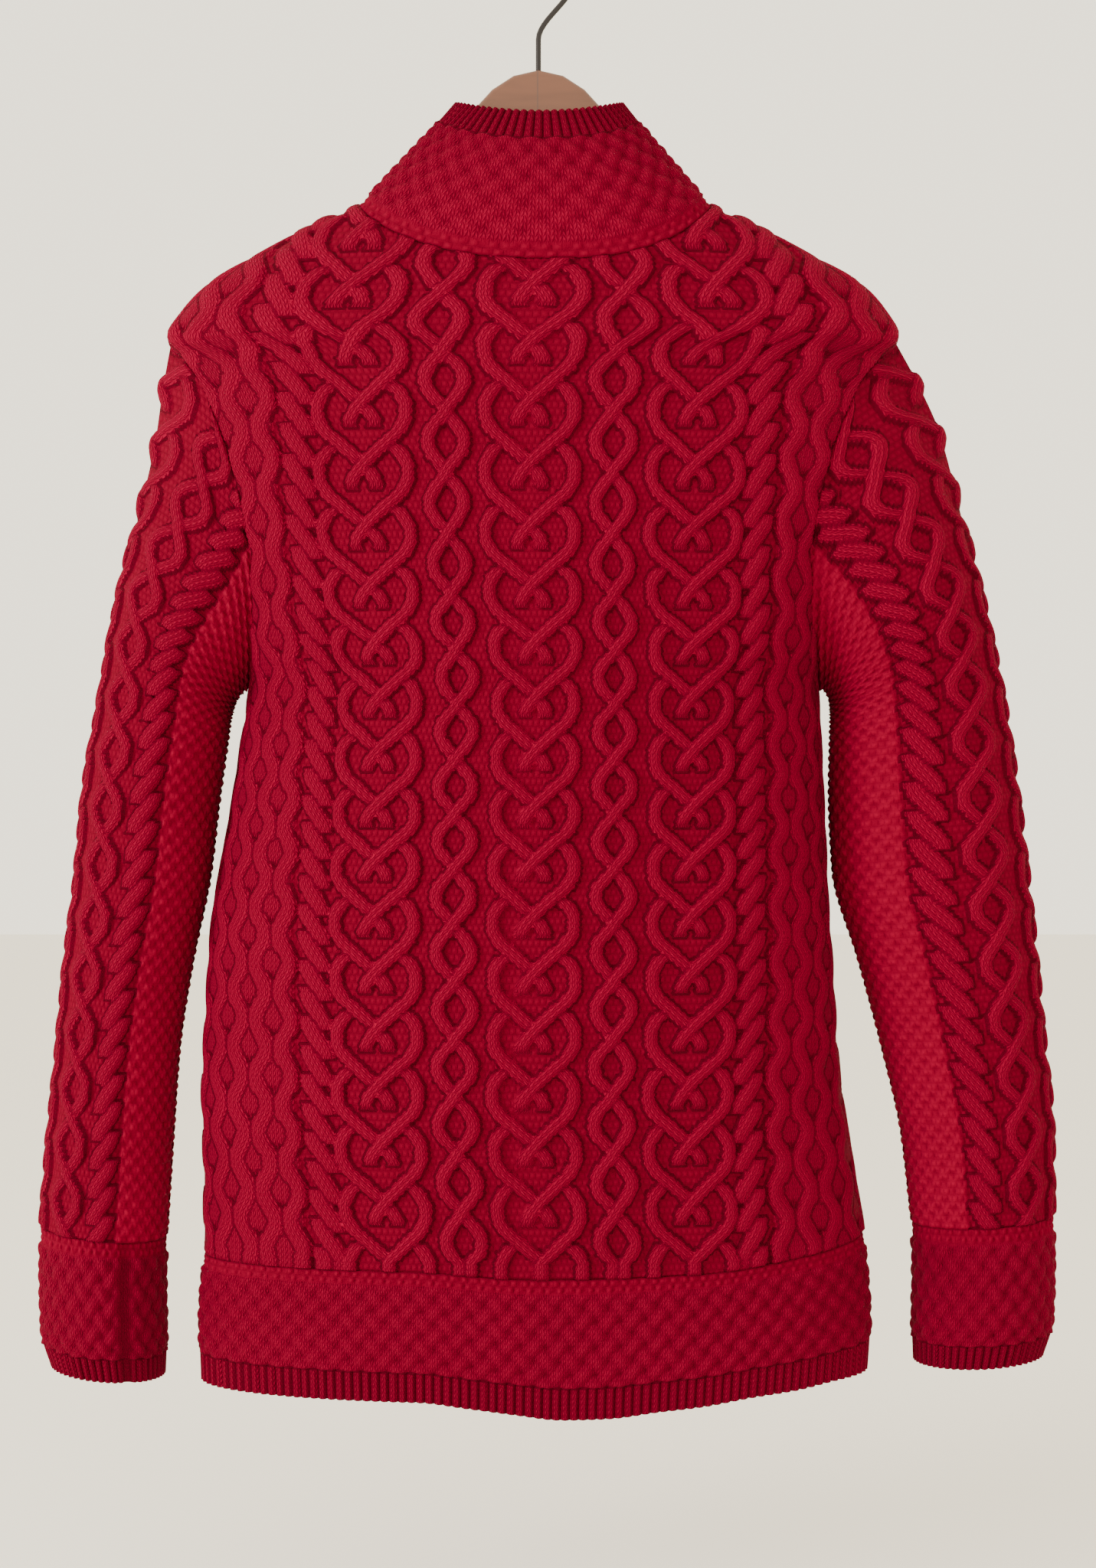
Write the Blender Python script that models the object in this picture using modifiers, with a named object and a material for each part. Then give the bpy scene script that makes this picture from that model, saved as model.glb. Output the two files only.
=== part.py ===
"""An Aran sweater hanging on a wooden hanger.

+Z is up, the garment's back faces -Y, and the origin is the inner top of the hook.
Sizes are in millimetres; MM turns them into metres when a mesh is made. Each knitted piece
is a wall with a plain inside. Its outer points are raised by the cables, bumps and ribs.
"""
import math

import bpy
import numpy as np
from mathutils import Vector
from mathutils.geometry import delaunay_2d_cdt

MM = 0.001
COLLECTION = "aran_sweater_on_hanger"

# Cloth
WALL = 2.6
HALF_GAP = 0.15
HEM_SEAM_Z = -732.0

# Cables of a sleeve: height of one repeat, height of the lowest crossing above the cuff seam
REPEAT = 31.0
FIRST_CROSSING = 9.0

# Outer ground of the torso, from the hem to the neck.
# height, half width, side depth, back depth, knit half width, turn of the side (degrees), middle x
TORSO = (
    (-806, 184.5, 0.0, 53.0, 199, 90, -2.5),
    (-770, 186.0, 0.0, 55.0, 199, 90, -2.0),
    (-732, 183.5, 0.0, 56.0, 199, 90, -2.0),
    (-690, 180.0, 0.0, 60.0, 199, 90, -5.0),
    (-623, 175.5, 0.0, 65.0, 199, 90, -10.0),
    (-555, 171.0, 0.0, 69.0, 199, 90, -10.0),
    (-485, 163.5, 0.0, 70.0, 199, 90, -6.0),
    (-425, 157.5, 0.0, 68.0, 199, 90, -3.0),
    (-412, 156.0, 0.0, 67.5, 199, 90, -2.5),
    (-400, 155.0, 14.0, 67.0, 184, 86, -2.5),
    (-385, 153.0, 26.0, 66.0, 171, 82, -3.0),
    (-350, 151.5, 36.0, 63.0, 162, 76, -4.0),
    (-320, 156.0, 38.0, 60.0, 160, 72, -4.5),
    (-285, 166.0, 34.0, 56.0, 160, 70, -4.5),
    (-251, 180.0, 24.0, 51.0, 160, 70, -4.5),
    (-236, 190.5, 14.0, 48.0, 160, 76, -4.0),
    (-221, 203.0, 0.0, 45.5, 160, 90, -3.0),
    (-211, 198.0, 0.0, 44.0, 157, 90, -2.5),
    (-193, 182.0, 0.0, 41.0, 149, 90, -2.0),
    (-176, 153.0, 0.0, 38.0, 130, 90, -2.5),
    (-159, 123.0, 0.0, 34.0, 110, 90, -2.5),
    (-144, 89.0, 0.0, 26.0, 83, 90, -1.5),
    (-128, 56.0, 0.0, 20.0, 54, 90, 0.0),
)
KNIT_HALF = 199.0
UNDERARM_Z = -412.0
SHOULDER_TIP_Z = -221.0
SECTION_POWER = 0.87
NECK_POINT_Z = -146.0

# Extra points under the shoulder line: heights, shares of the knit width
SHOULDER_HEIGHTS = (-150, -158, -166, -175, -184, -193, -202, -211, -220, -229)
SHOULDER_SHARES = (0.955, 0.9)

# Heights of the hem seam above HEM_SEAM_Z: knit place, the back's, the front's
SEAM_LIFT = (
    (-199, 0.0, 0.0),
    (-64, -0.6, 1.0),
    (0, -4.4, 4.0),
    (88, -2.3, 6.0),
    (140, 4.0, 9.0),
    (199, 13.0, 13.0),
)
# Heights of the free edge above the lowest level of the torso: knit place, the back's, the front's
EDGE_LIFT = (
    (-199, 4.0, 4.0),
    (-100, 3.3, 5.0),
    (-60, 3.0, 6.0),
    (-34, 0.0, 6.5),
    (-9, -3.3, 7.0),
    (15, -6.0, 7.0),
    (40, -5.4, 7.5),
    (64, -2.5, 8.0),
    (90, 0.0, 8.5),
    (115, 3.7, 9.0),
    (140, 6.0, 9.5),
    (165, 9.0, 10.0),
    (199, 10.0, 10.0),
)

# Neckline of each side of the garment: lowest height, knit middle, power of the curve
NECKLINES = {
    "back": (-184.0, 7.0, 2.6),
    "front": (-216.0, 2.0, 2.4),
}

# Sleeve outlines seen from the back: share of the length, outer x, outer z, inner x, inner z, half depth
SLEEVE_LEFT = (
    (0.0, -206.0, -221, -158.5, -412, 36.0),
    (0.05, -211.0, -249, -163.0, -415, 40.0),
    (0.1, -215.0, -277, -166.5, -417, 43.0),
    (0.2, -226.0, -326, -172.0, -424, 43.0),
    (0.3, -236.5, -375, -174.5, -432, 41.0),
    (0.4, -245.0, -424, -177.0, -450, 39.0),
    (0.5, -253.5, -473, -181.0, -479, 37.0),
    (0.6, -258.0, -521, -186.0, -521, 36.0),
    (0.7, -264.0, -570, -196.0, -570, 35.0),
    (0.8, -268.5, -619, -203.5, -619, 34.0),
    (0.9, -273.5, -668, -207.0, -668, 33.0),
    (1.0, -277.5, -717, -210.5, -724, 31.0),
)
SLEEVE_RIGHT = (
    (0.0, 200.0, -221, 153.5, -412, 36.0),
    (0.05, 214.0, -247, 158.5, -415, 40.0),
    (0.1, 225.0, -272, 162.0, -417, 43.0),
    (0.2, 238.0, -322, 165.5, -424, 43.0),
    (0.3, 249.5, -372, 166.0, -432, 41.0),
    (0.4, 259.5, -421, 165.5, -450, 39.0),
    (0.5, 267.0, -470, 165.0, -477, 37.0),
    (0.6, 273.0, -519, 167.0, -519, 36.0),
    (0.7, 278.0, -567, 181.0, -567, 35.0),
    (0.8, 282.5, -615, 194.0, -615, 34.0),
    (0.9, 287.0, -663, 205.5, -665, 33.0),
    (1.0, 287.5, -711, 211.5, -716, 31.0),
)
SLEEVE_KNIT_LENGTH = 495.0
SLEEVE_KNIT_HALF = 128.0
LOOP_FADE = 0.30

# Cuffs: share of their height, change of outer x, change of inner x, drop, half depth
CUFF_SHAPE = (
    (0.0, -0.5, 0.0, 0.0, 31.0),
    (0.3, -0.5, 1.0, 26.0, 32.0),
    (0.7, -1.5, 0.5, 59.0, 31.5),
    (1.0, -6.5, 1.0, 77.0, 29.5),
)

# Collar: half width and depths of its top edge, and how far it bellies out
COLLAR_TOP = {
    "x": 0.5,
    "half": 46.0,
    "back": 27.0,
    "front": 32.0,
    "side_z": -89.0,
    "back_z": -100.5,
    "front_z": -136.0,
}
COLLAR_BELLY = {"side": -1.5, "middle": 4.5}
COLLAR_HALF = 190.0
COLLAR_HEIGHT = 78.0
COLLAR_CRESTS = 70

# Bands of the hem, collar and cuffs, as heights in millimetres from their free edge
RIB_RISE = 1.2
RIB_HEIGHT = 17.0
BASKET_ROW = 7.05
BASKET_PITCH = 12.9
BASKET_RISE = 2.2
SEED_HEIGHT = 8.0
HEM_HEIGHT = 74.0
HEM_CRESTS = 160
CUFF_CRESTS = 52

# How the hearts' crossings are spaced up the body: height above the hem seam, how many
CROSSINGS = (
    (-26.6, -1.0),
    (5.2, 0.0),
    (68.9, 2.0),
    (191.7, 6.0),
    (279.2, 9.0),
    (367.6, 12.0),
    (500.9, 16.0),
    (600.0, 19.0),
)

# How the lines of cables lie on the body: height above the hem seam, how far right the middle
# one stands, how widely the lines are spread, how wide the hearts are knitted
CABLE_FIT = (
    (0.0, 4.0, 0.96, 1.0),
    (32.0, 4.5, 0.965, 1.0),
    (145.0, 8.0, 1.0, 1.0),
    (294.0, 2.5, 1.06, 1.0),
    (345.0, 1.0, 1.08, 1.08),
    (399.0, 0.0, 1.08, 1.14),
    (450.0, 0.0, 1.02, 1.06),
    (482.0, 0.0, 0.96, 0.98),
    (510.0, 0.0, 0.91, 0.94),
    (600.0, 0.0, 0.88, 0.92),
)

# Cable strands
STRAND_HALF = 4.6
STRAND_RISE = 3.0
SEAM_FADE = 11.0
HEART_HALF = 22.0
HEART_CENTRES = (-83.0, 0.0, 83.0)
RING_HALF = 9.2
RING_CENTRES = (-41.5, 41.5)
RING_LAG = -4.0
ROPE_HALF = 4.6
ROPE_DENT = 9.5
ROPE_CENTRE = 116.0
HONEY_START = 133.0
HONEY_STEP = 15.0
HONEY_SWAY = 2.6
HONEY_STRANDS = 4
HONEY_LAG = 4.0
SLEEVE_RING_CENTRES = (-43.0, 43.0)
SLEEVE_ROPE_CENTRE = 68.0
MOSS_START = 82.0
MOSS_STEP = 19.0
MOSS_COLUMNS = 2
MOSS_RISE = 0.55
TOP_PLAIN = 4.0

# Stations of a heart's arm: share of the repeat, share of its half width, rise
HEART_ARM = (
    (-0.34, -0.34, 0.6),
    (0.00, 0.00, 1.0),
    (0.50, 0.88, 1.0),
    (0.78, 1.00, 1.0),
    (1.00, 0.80, 0.7),
)
# Low points of a heart: share of the repeat, share of its half width
HEART_LOWS = (
    (0.20, 0.84),
    (0.78, 0.55),
    (0.45, 0.00),
    (0.74, 1.28),
)

# Hanger and hook
HANGER_THICK = 10.0
HANGER_EDGE = 4.0
HANGER_CLEAR = 1.6
HANGER_REACH = 188.0
DOME_TOP_Z = -70.0
# Top edge of the hanger's dome and neck, its right half: x, z
DOME_EDGE = (
    (0.0, -70.0),
    (14.0, -73.2),
    (26.0, -81.0),
    (36.0, -92.0),
    (45.0, -106.0),
    (57.0, -124.0),
    (76.0, -142.0),
)
# Depth of the hanger below its top edge: x, depth
HANGER_DEPTH = ((0.0, 66.0), (40.0, 44.0), (80.0, 32.0), (130.0, 27.0), (175.0, 23.0), (190.0, 18.0))
WIRE = 3.2
HOOK_RADIUS = 20.0
HOOK_STEM_Z = -52.0

COLOURS = {
    "wool": ((0.33, 0.005, 0.024, 1.0), 0.9, 0.0),
    "wood": ((0.30, 0.15, 0.10, 1.0), 0.5, 0.0),
    "wire": ((0.02, 0.018, 0.02, 1.0), 0.4, 0.6),
}


def table_curve(rows, column, key=0):
    """A smooth function through one column of a table, with no overshoot."""
    rows = sorted(rows, key=lambda row: row[key])
    xs = np.array([row[key] for row in rows], float)
    ys = np.array([row[column] for row in rows], float)
    steps = np.diff(xs)
    slopes = np.diff(ys) / steps
    bends = np.zeros(len(xs))
    same = slopes[:-1] * slopes[1:] > 0
    mean = 2 * slopes[:-1] * slopes[1:] / np.where(same, slopes[:-1] + slopes[1:], 1.0)
    bends[1:-1] = np.where(same, mean, 0.0)
    bends[0], bends[-1] = slopes[0], slopes[-1]

    def value(x):
        x = np.clip(np.asarray(x, float), xs[0], xs[-1])
        i = np.clip(np.searchsorted(xs, x, side="right") - 1, 0, len(steps) - 1)
        h = steps[i]
        u = (x - xs[i]) / h
        return (
            (1 + 2 * u) * (1 - u) ** 2 * ys[i]
            + u * (1 - u) ** 2 * h * bends[i]
            + u * u * (3 - 2 * u) * ys[i + 1]
            + u * u * (u - 1) * h * bends[i + 1]
        )

    return value


TORSO_HALF, TORSO_SIDE, TORSO_BACK, TORSO_KNIT, TORSO_TURN, TORSO_MIDDLE = (
    table_curve(TORSO, column) for column in range(1, 7)
)


NECK_KNIT = float(TORSO_KNIT(NECK_POINT_Z))
SEAM_RISE = {"back": table_curve(SEAM_LIFT, 1), "front": table_curve(SEAM_LIFT, 2)}
EDGE_RISE = {"back": table_curve(EDGE_LIFT, 1), "front": table_curve(EDGE_LIFT, 2)}
CROSSING_HEIGHT = table_curve(CROSSINGS, 0, 1)
CABLE_SHIFT, CABLE_SPREAD, HEART_WIDTH = (table_curve(CABLE_FIT, column) for column in (1, 2, 3))


def smooth_step(x):
    x = np.clip(x, 0.0, 1.0)
    return x * x * (3 - 2 * x)


def torso_point(s, z, front=False):
    """The point of the torso's outer ground at knit width s and height z."""
    half, side, back = TORSO_HALF(z), TORSO_SIDE(z), TORSO_BACK(z)
    turn = np.radians(TORSO_TURN(z))
    angles = np.linspace(0.0, 1.0, 41) * turn
    xs = half * (np.sin(angles) / math.sin(turn)) ** SECTION_POWER
    fall = (1 - np.abs(np.cos(angles)) ** SECTION_POWER) / (1 - abs(math.cos(turn)) ** SECTION_POWER)
    ys = back + (side - back) * fall
    lengths = np.concatenate([[0.0], np.cumsum(np.hypot(np.diff(xs), np.diff(ys)))])
    share = min(abs(s) / TORSO_KNIT(z), 1.0) * lengths[-1]
    x = np.interp(share, lengths, xs)
    y = np.interp(share, lengths, ys)
    return np.array([TORSO_MIDDLE(z) + math.copysign(x, s), y if front else -y, z])


def torso_normal(s, z, front=False):
    """The outward normal of the torso at knit width s and height z."""
    reach = TORSO_KNIT(z)
    s = float(np.clip(s, 1.0 - reach, reach - 1.0))
    step = 0.8
    across = torso_point(s + step, z, front) - torso_point(s - step, z, front)
    up = torso_point(s, z + step, front) - torso_point(s, z - step, front)
    normal = np.cross(across, up) * (-1 if front else 1)
    return normal / np.linalg.norm(normal)


def raised_path(places, rise):
    """One ridge line: its knit places, each with the rise of the cloth there."""
    return [(s, t, rise * share) for s, t, share in places]


def heart_lines(centre, t, repeat, half, floors=True):
    """Ridges and low points of one heart of this height whose arms cross at height t."""
    ridges, lows = [], []
    for hand in (1, -1):
        places = [(centre + hand * x * half, t + u * repeat, share) for u, x, share in HEART_ARM]
        if hand == 1:
            ridges.append(raised_path(places, STRAND_RISE))
        else:
            ridges.append(raised_path(places[2:], STRAND_RISE))
            lows.append((centre + hand * 0.30 * half, t + 0.14 * repeat, 0.5 * STRAND_RISE))
        spots = HEART_LOWS if floors else HEART_LOWS[2:]
        lows += [(centre + hand * x * half, t + u * repeat, 0.0) for u, x in spots]
    return ridges, lows


def ring_lines(centre, t, half, height, floors=True):
    """Ridges and low points of one ring, or one turn of a rope, that starts at height t."""
    right = [(centre + half, t + height * 0.3, 1.0), (centre + half, t + height * 0.7, 1.0)]
    left = [(2 * centre - s, z, share) for s, z, share in right]
    top, bottom = (centre, t + height, 1.0), (centre, t, 1.0)
    ridges = [raised_path([bottom] + right, STRAND_RISE), raised_path(left + [top], STRAND_RISE)]
    lows = [(centre, t + height * 0.5, 0.2)]
    if floors:
        lows += [(centre + hand * (STRAND_HALF + 1.5), t, 0.0) for hand in (1, -1)]
    return ridges, lows


def rope_lines(centre, t, height, hand, floors=True):
    """One half turn of a rope: a leaning leaf and the dent beside it."""
    lean = hand * ROPE_HALF
    leaf = [(centre - lean, t + height * 0.15, 0.9), (centre + lean, t + height * 0.8, 1.0)]
    ridges = [raised_path(leaf, STRAND_RISE)]
    lows = [(centre + hand * ROPE_DENT, t + height * 0.3, 0.0)] if floors else []
    return ridges, lows


def honey_lines(side, shift, t, repeat, floors):
    """Ridges of the honeycomb beside the ropes, one repeat of it, and its cell floors if wanted."""
    ridges, lows = [], []
    for k in range(HONEY_STRANDS):
        sway = HONEY_SWAY * (-1 if k % 2 else 1)
        near, far = HONEY_START + HONEY_STEP * k - sway, HONEY_START + HONEY_STEP * k + sway
        near, far = shift + side * near, shift + side * far
        places = [(near, t, 0.9), (far, t + repeat / 2, 0.9), (near, t + repeat, 0.9)]
        ridges.append(raised_path(places, STRAND_RISE))
        if floors:
            floor_t = t + (repeat / 2 if k % 2 else 0.0)
            lows.append((shift + side * (HONEY_START + HONEY_STEP * (k + 0.5)), floor_t, 0.3))
    return ridges, lows


def collect(groups):
    ridges, lows = [], []
    for more_ridges, more_lows in groups:
        ridges += more_ridges
        lows += more_lows
    return ridges, lows


def body_pattern(height, floors):
    """All ridges and low points of a back or front panel of this height."""
    groups = []
    crossings = CROSSING_HEIGHT(np.arange(CROSSINGS[0][1], CROSSINGS[-1][1] + 1))
    for t, above in zip(crossings, crossings[1:]):
        if t > height:
            break
        repeat = above - t
        shift, spread = float(CABLE_SHIFT(t)), float(CABLE_SPREAD(t))
        half = HEART_HALF * float(HEART_WIDTH(t))
        groups += [heart_lines(shift + c * spread, t, repeat, half, floors) for c in HEART_CENTRES]
        groups += [
            ring_lines(shift + c * spread, t + RING_LAG, RING_HALF, repeat, floors)
            for c in RING_CENTRES
        ]
        for side in (-1, 1):
            rope = shift + side * ROPE_CENTRE * spread
            groups += [rope_lines(rope, t + k * repeat / 2, repeat / 2, side, floors) for k in (0, 1)]
            groups.append(honey_lines(side, shift, t + HONEY_LAG, repeat, floors))
    return collect(groups)


def row_measure(place):
    """Turns a row's height above the cuff into knit height, longest at the sleeve's outer line."""
    heights = np.linspace(0.0, SLEEVE_KNIT_LENGTH, 34)
    columns = np.linspace(-SLEEVE_KNIT_HALF, SLEEVE_KNIT_HALF, 17)
    lengths = []
    for s in columns:
        line = np.array([place(s, t) for t in heights])
        steps = np.linalg.norm(np.diff(line, axis=0), axis=1)
        lengths.append(np.concatenate([[0.0], np.cumsum(steps)]))
    lengths = np.array(lengths)

    def measure(s, row, rise):
        here = [np.interp(s, columns, lengths[:, k]) for k in range(len(heights))]
        if row > here[-1] - TOP_PLAIN:
            return s, SLEEVE_KNIT_LENGTH, rise
        return s, (float(np.interp(row, here, heights)) if row > 0.0 else row), rise

    return measure


def cut_path(spots):
    """The places of a path that lie below the armhole."""
    return [spot for spot in spots if spot[1] < SLEEVE_KNIT_LENGTH]


def sleeve_pattern(place):
    """All ridges and low points of a sleeve whose rows are knitted straight across."""
    groups = []
    for row in range(-1, int(SLEEVE_KNIT_LENGTH / REPEAT) + 1):
        t = FIRST_CROSSING + row * REPEAT
        groups.append(heart_lines(0.0, t, REPEAT, HEART_HALF))
        groups += [ring_lines(centre, t + RING_LAG, RING_HALF, REPEAT) for centre in SLEEVE_RING_CENTRES]
        for side in (-1, 1):
            rope = side * SLEEVE_ROPE_CENTRE
            groups += [rope_lines(rope, t + k * REPEAT / 2, REPEAT / 2, side) for k in (0, 1)]
            for k in range(MOSS_COLUMNS):
                column = side * (MOSS_START + MOSS_STEP * (k + 0.5))
                groups.append(([], [(column, t + REPEAT * (0.25 + 0.5 * ((k + 1) % 2)), MOSS_RISE)]))
                groups.append(([], [(column, t + REPEAT * (0.25 + 0.5 * (k % 2)), 0.0)]))
    ridges, lows = collect(groups)
    measure = row_measure(place)
    ridges = [cut_path([measure(*spot) for spot in ridge]) for ridge in ridges]
    return [ridge for ridge in ridges if len(ridge) > 1], cut_path([measure(*spot) for spot in lows])


def clear_scene():
    for obj in list(bpy.data.objects):
        bpy.data.objects.remove(obj, do_unlink=True)


def material(name):
    colour, roughness, metallic = COLOURS[name]
    made = bpy.data.materials.new(name)
    made.use_nodes = True
    shader = made.node_tree.nodes["Principled BSDF"]
    shader.inputs["Base Color"].default_value = colour
    shader.inputs["Roughness"].default_value = roughness
    shader.inputs["Metallic"].default_value = metallic
    made.diffuse_color = colour
    return made


def add_object(name, data, finish, collection):
    obj = bpy.data.objects.new(name, data)
    collection.objects.link(obj)
    data.materials.append(material(finish))
    return obj


def add_mesh(name, points, faces, collection):
    """A closed knitted piece from points in millimetres, turned to face outwards."""
    points = np.asarray(points, float)
    faces = [tuple(face) for face in faces]
    triangles = np.array([(f[0], f[i], f[i + 1]) for f in faces for i in range(1, len(f) - 1)])
    a, b, c = (points[triangles[:, i]] for i in range(3))
    if np.einsum("ij,ij->i", a, np.cross(b, c)).sum() < 0:
        faces = [face[::-1] for face in faces]
    mesh = bpy.data.meshes.new(name)
    mesh.from_pydata([tuple(p * MM) for p in points], [], faces)
    mesh.shade_smooth()
    mesh.set_sharp_from_angle(angle=math.radians(50))
    return add_object(name, mesh, "wool", collection)


def inside(point, loop):
    """Whether a flat point lies inside a closed flat loop."""
    x, y = point
    found = False
    for (x0, y0), (x1, y1) in zip(loop, loop[1:] + loop[:1]):
        if (y0 > y) != (y1 > y) and x < x0 + (y - y0) * (x1 - x0) / (y1 - y0):
            found = not found
    return found


def distance_to_loop(point, loop):
    p = np.array(point)
    a = np.array(loop)
    b = np.roll(a, -1, axis=0)
    along = b - a
    share = np.clip(((p - a) * along).sum(axis=1) / (along * along).sum(axis=1), 0.0, 1.0)
    return float(np.hypot(*(a + along * share[:, None] - p).T).min())


def net_of(loop, ridges, lows, margin=3.2, merge=1.2):
    """Triangles over the inside of a flat loop, with an edge along each ridge.

    Returns the flat points, their rises, the triangles and where the loop's points are.
    """
    points = [Vector(p) for p in loop]
    rises = [0.0] * len(loop)
    edges = [(i, (i + 1) % len(loop)) for i in range(len(loop))]
    on_loop = {(round(s, 3), round(t, 3)): i for i, (s, t) in enumerate(loop)}
    cells = {}

    def add(s, t, rise):
        if (round(s, 3), round(t, 3)) in on_loop:
            return on_loop[(round(s, 3), round(t, 3))]
        if not inside((s, t), loop) or distance_to_loop((s, t), loop) < margin:
            return None
        cell = (round(s / merge), round(t / merge))
        for near in [(cell[0] + i, cell[1] + j) for i in (-1, 0, 1) for j in (-1, 0, 1)]:
            for index in cells.get(near, []):
                if math.hypot(points[index].x - s, points[index].y - t) < merge:
                    return index
        points.append(Vector((s, t)))
        rises.append(rise * min(max(distance_to_loop((s, t), loop) / SEAM_FADE, 0.2), 1.0))
        cells.setdefault(cell, []).append(len(points) - 1)
        return len(points) - 1

    for ridge in ridges:
        chain = [add(*place) for place in ridge]
        edges += [(a, b) for a, b in zip(chain, chain[1:]) if a is not None and b is not None and a != b]
    for low in lows:
        add(*low)
    flat, _, faces, sources, _, _ = delaunay_2d_cdt(points, edges, [], 1, 1e-4)
    heights = [rises[found[0]] if found else STRAND_RISE for found in sources]
    order = {source: index for index, found in enumerate(sources) for source in found}
    rim = [order[i] for i in range(len(loop))]
    return [(p.x, p.y) for p in flat], heights, [tuple(face) for face in faces], rim


def distance(points, i, j):
    return np.linalg.norm(points[i] - points[j])


def rim_faces(points, outer, inner, kept, skipped):
    """Triangles that join the outer rim to the inner rim, which has only the kept samples.

    A plain quad is cut along its shorter diagonal, so both pieces at a seam are cut alike.
    """
    faces = []
    count = len(outer)
    for j, start in enumerate(kept):
        end = kept[(j + 1) % len(kept)]
        if (start, end) in skipped:
            continue
        a, b = inner[j], inner[(j + 1) % len(kept)]
        span = [(start + i) % count for i in range((end - start) % count + 1)]
        half = len(span) // 2
        first, last = outer[span[0]], outer[span[-1]]
        if len(span) == 2 and distance(points, first, b) < distance(points, last, a):
            faces += [(last, first, b), (first, a, b)]
            continue
        for i, (p, q) in enumerate(zip(span, span[1:])):
            faces.append((outer[q], outer[p], a if i < half else b))
        faces.append((outer[span[half]], a, b))
    return faces


class Seam:
    """Samples along a seam: knit places, points, rim directions and the way to the next piece."""

    def __init__(self, places, points, outward, across):
        self.places = list(places)
        self.points = [np.array(p, float) for p in points]
        self.outward = [np.array(v, float) / np.linalg.norm(v) for v in outward]
        self.across = [np.array(v, float) / np.linalg.norm(v) for v in across]

    def reverse(self):
        return Seam(self.places[::-1], self.points[::-1], self.outward[::-1], self.across[::-1])


def join_rims(parts):
    """One closed rim from seams and free edges: flat places, points and outward directions.

    Each part is a seam and the sign of the way that this piece is pulled back from it. Where two
    parts meet, their last and first samples are one corner, pulled back from both.
    """
    places, points, outward = [], [], []
    for seam, sign in parts:
        for i, place in enumerate(seam.places):
            shift = seam.across[i] * sign * HALF_GAP
            if i == 0 and points:
                points[-1] = points[-1] + shift
                outward[-1] = outward[-1] + seam.outward[i]
                continue
            places.append(place)
            points.append(seam.points[i] + shift)
            outward.append(seam.outward[i])
    last_shift = points.pop() - parts[-1][0].points[-1]
    last_outward = outward.pop()
    places.pop()
    points[0] = points[0] + last_shift
    outward[0] = outward[0] + last_outward
    return places, points, [v / np.linalg.norm(v) for v in outward]


def neck_height(s, front):
    lowest, middle, power = NECKLINES["front" if front else "back"]
    reach = NECK_KNIT - middle if s > middle else NECK_KNIT + middle
    share = min(abs(s - middle) / reach, 1.0)
    return lowest + (NECK_POINT_Z - lowest) * share**power


def flat_place(s, z):
    return (s, z - HEM_SEAM_Z)


def knit_at_height(z):
    return float(TORSO_KNIT(z))


def hem_seam(front, samples=40):
    places = np.linspace(-KNIT_HALF, KNIT_HALF, samples + 1)
    heights = [HEM_SEAM_Z + float(SEAM_RISE["front" if front else "back"](s)) for s in places]
    return Seam(
        [flat_place(s, z) for s, z in zip(places, heights)],
        [torso_point(s, z, front) for s, z in zip(places, heights)],
        [torso_normal(s, z, front) for s, z in zip(places, heights)],
        [(0, 0, -1)] * len(places),
    )


def side_seam(side, samples=14):
    heights = np.linspace(HEM_SEAM_Z + float(SEAM_RISE["back"](side * KNIT_HALF)), UNDERARM_Z, samples + 1)
    return Seam(
        [flat_place(side * KNIT_HALF, z) for z in heights],
        [torso_point(side * KNIT_HALF, z) * (1, 0, 1) for z in heights],
        [(side, 0, 0)] * len(heights),
        [(0, 1, 0)] * len(heights),
    )


def armhole_curve(side, front, samples):
    """Heights down the armhole from the shoulder tip to the underarm, evenly spaced along it."""
    heights = np.linspace(SHOULDER_TIP_Z, UNDERARM_Z, 161)
    points = np.array([torso_point(side * knit_at_height(z), z, front) for z in heights])
    lengths = np.concatenate([[0.0], np.cumsum(np.linalg.norm(np.diff(points, axis=0), axis=1))])
    return np.interp(np.linspace(0.0, lengths[-1], samples + 1), lengths, heights)


def armhole_seam(side, front, samples=14):
    heights = armhole_curve(side, front, samples)
    points = [torso_point(side * knit_at_height(z), z, front) for z in heights]
    points[0] = points[0] * (1, 0, 1)
    points[-1] = points[-1] * (1, 0, 1)
    centre = (points[0] + points[-1]) / 2
    chord = points[-1] - points[0]
    away = np.array([-chord[2], 0.0, chord[0]]) * side / np.linalg.norm(chord)
    outward, across = [], []
    for i, z in enumerate(heights):
        body = torso_normal(side * knit_at_height(z), z, front)
        spread = points[i] - centre
        spread = spread - away * spread.dot(away)
        spread = spread / np.linalg.norm(spread)
        if i in (0, len(heights) - 1):
            body = np.array([side * (0.6 if i == 0 else 1.0), 0.0, 0.8 if i == 0 else 0.0])
        outward.append(body / np.linalg.norm(body) + spread)
    tangents = np.gradient(np.array(points), axis=0)
    for i, tangent in enumerate(tangents):
        way = np.cross(tangent, outward[i])
        across.append(way if way[0] * side > 0 else -way)
    across[0] = across[0] * (1, 0, 1)
    across[-1] = across[-1] * (1, 0, 1)
    outward[0] = outward[0] * (1, 0, 1)
    outward[-1] = outward[-1] * (1, 0, 1)
    return Seam([flat_place(side * knit_at_height(z), z) for z in heights], points, outward, across)


def shoulder_seam(side, samples=8):
    heights = np.linspace(SHOULDER_TIP_Z, NECK_POINT_Z, samples + 1)
    points = [torso_point(side * knit_at_height(z), z) * (1, 0, 1) for z in heights]
    tangents = np.gradient(np.array(points), axis=0)
    outward = [np.array([side * abs(t[2]), 0.0, abs(t[0])]) for t in tangents]
    return Seam(
        [flat_place(side * knit_at_height(z), z) for z in heights],
        points,
        outward,
        [(0, 1, 0)] * len(heights),
    )


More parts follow.
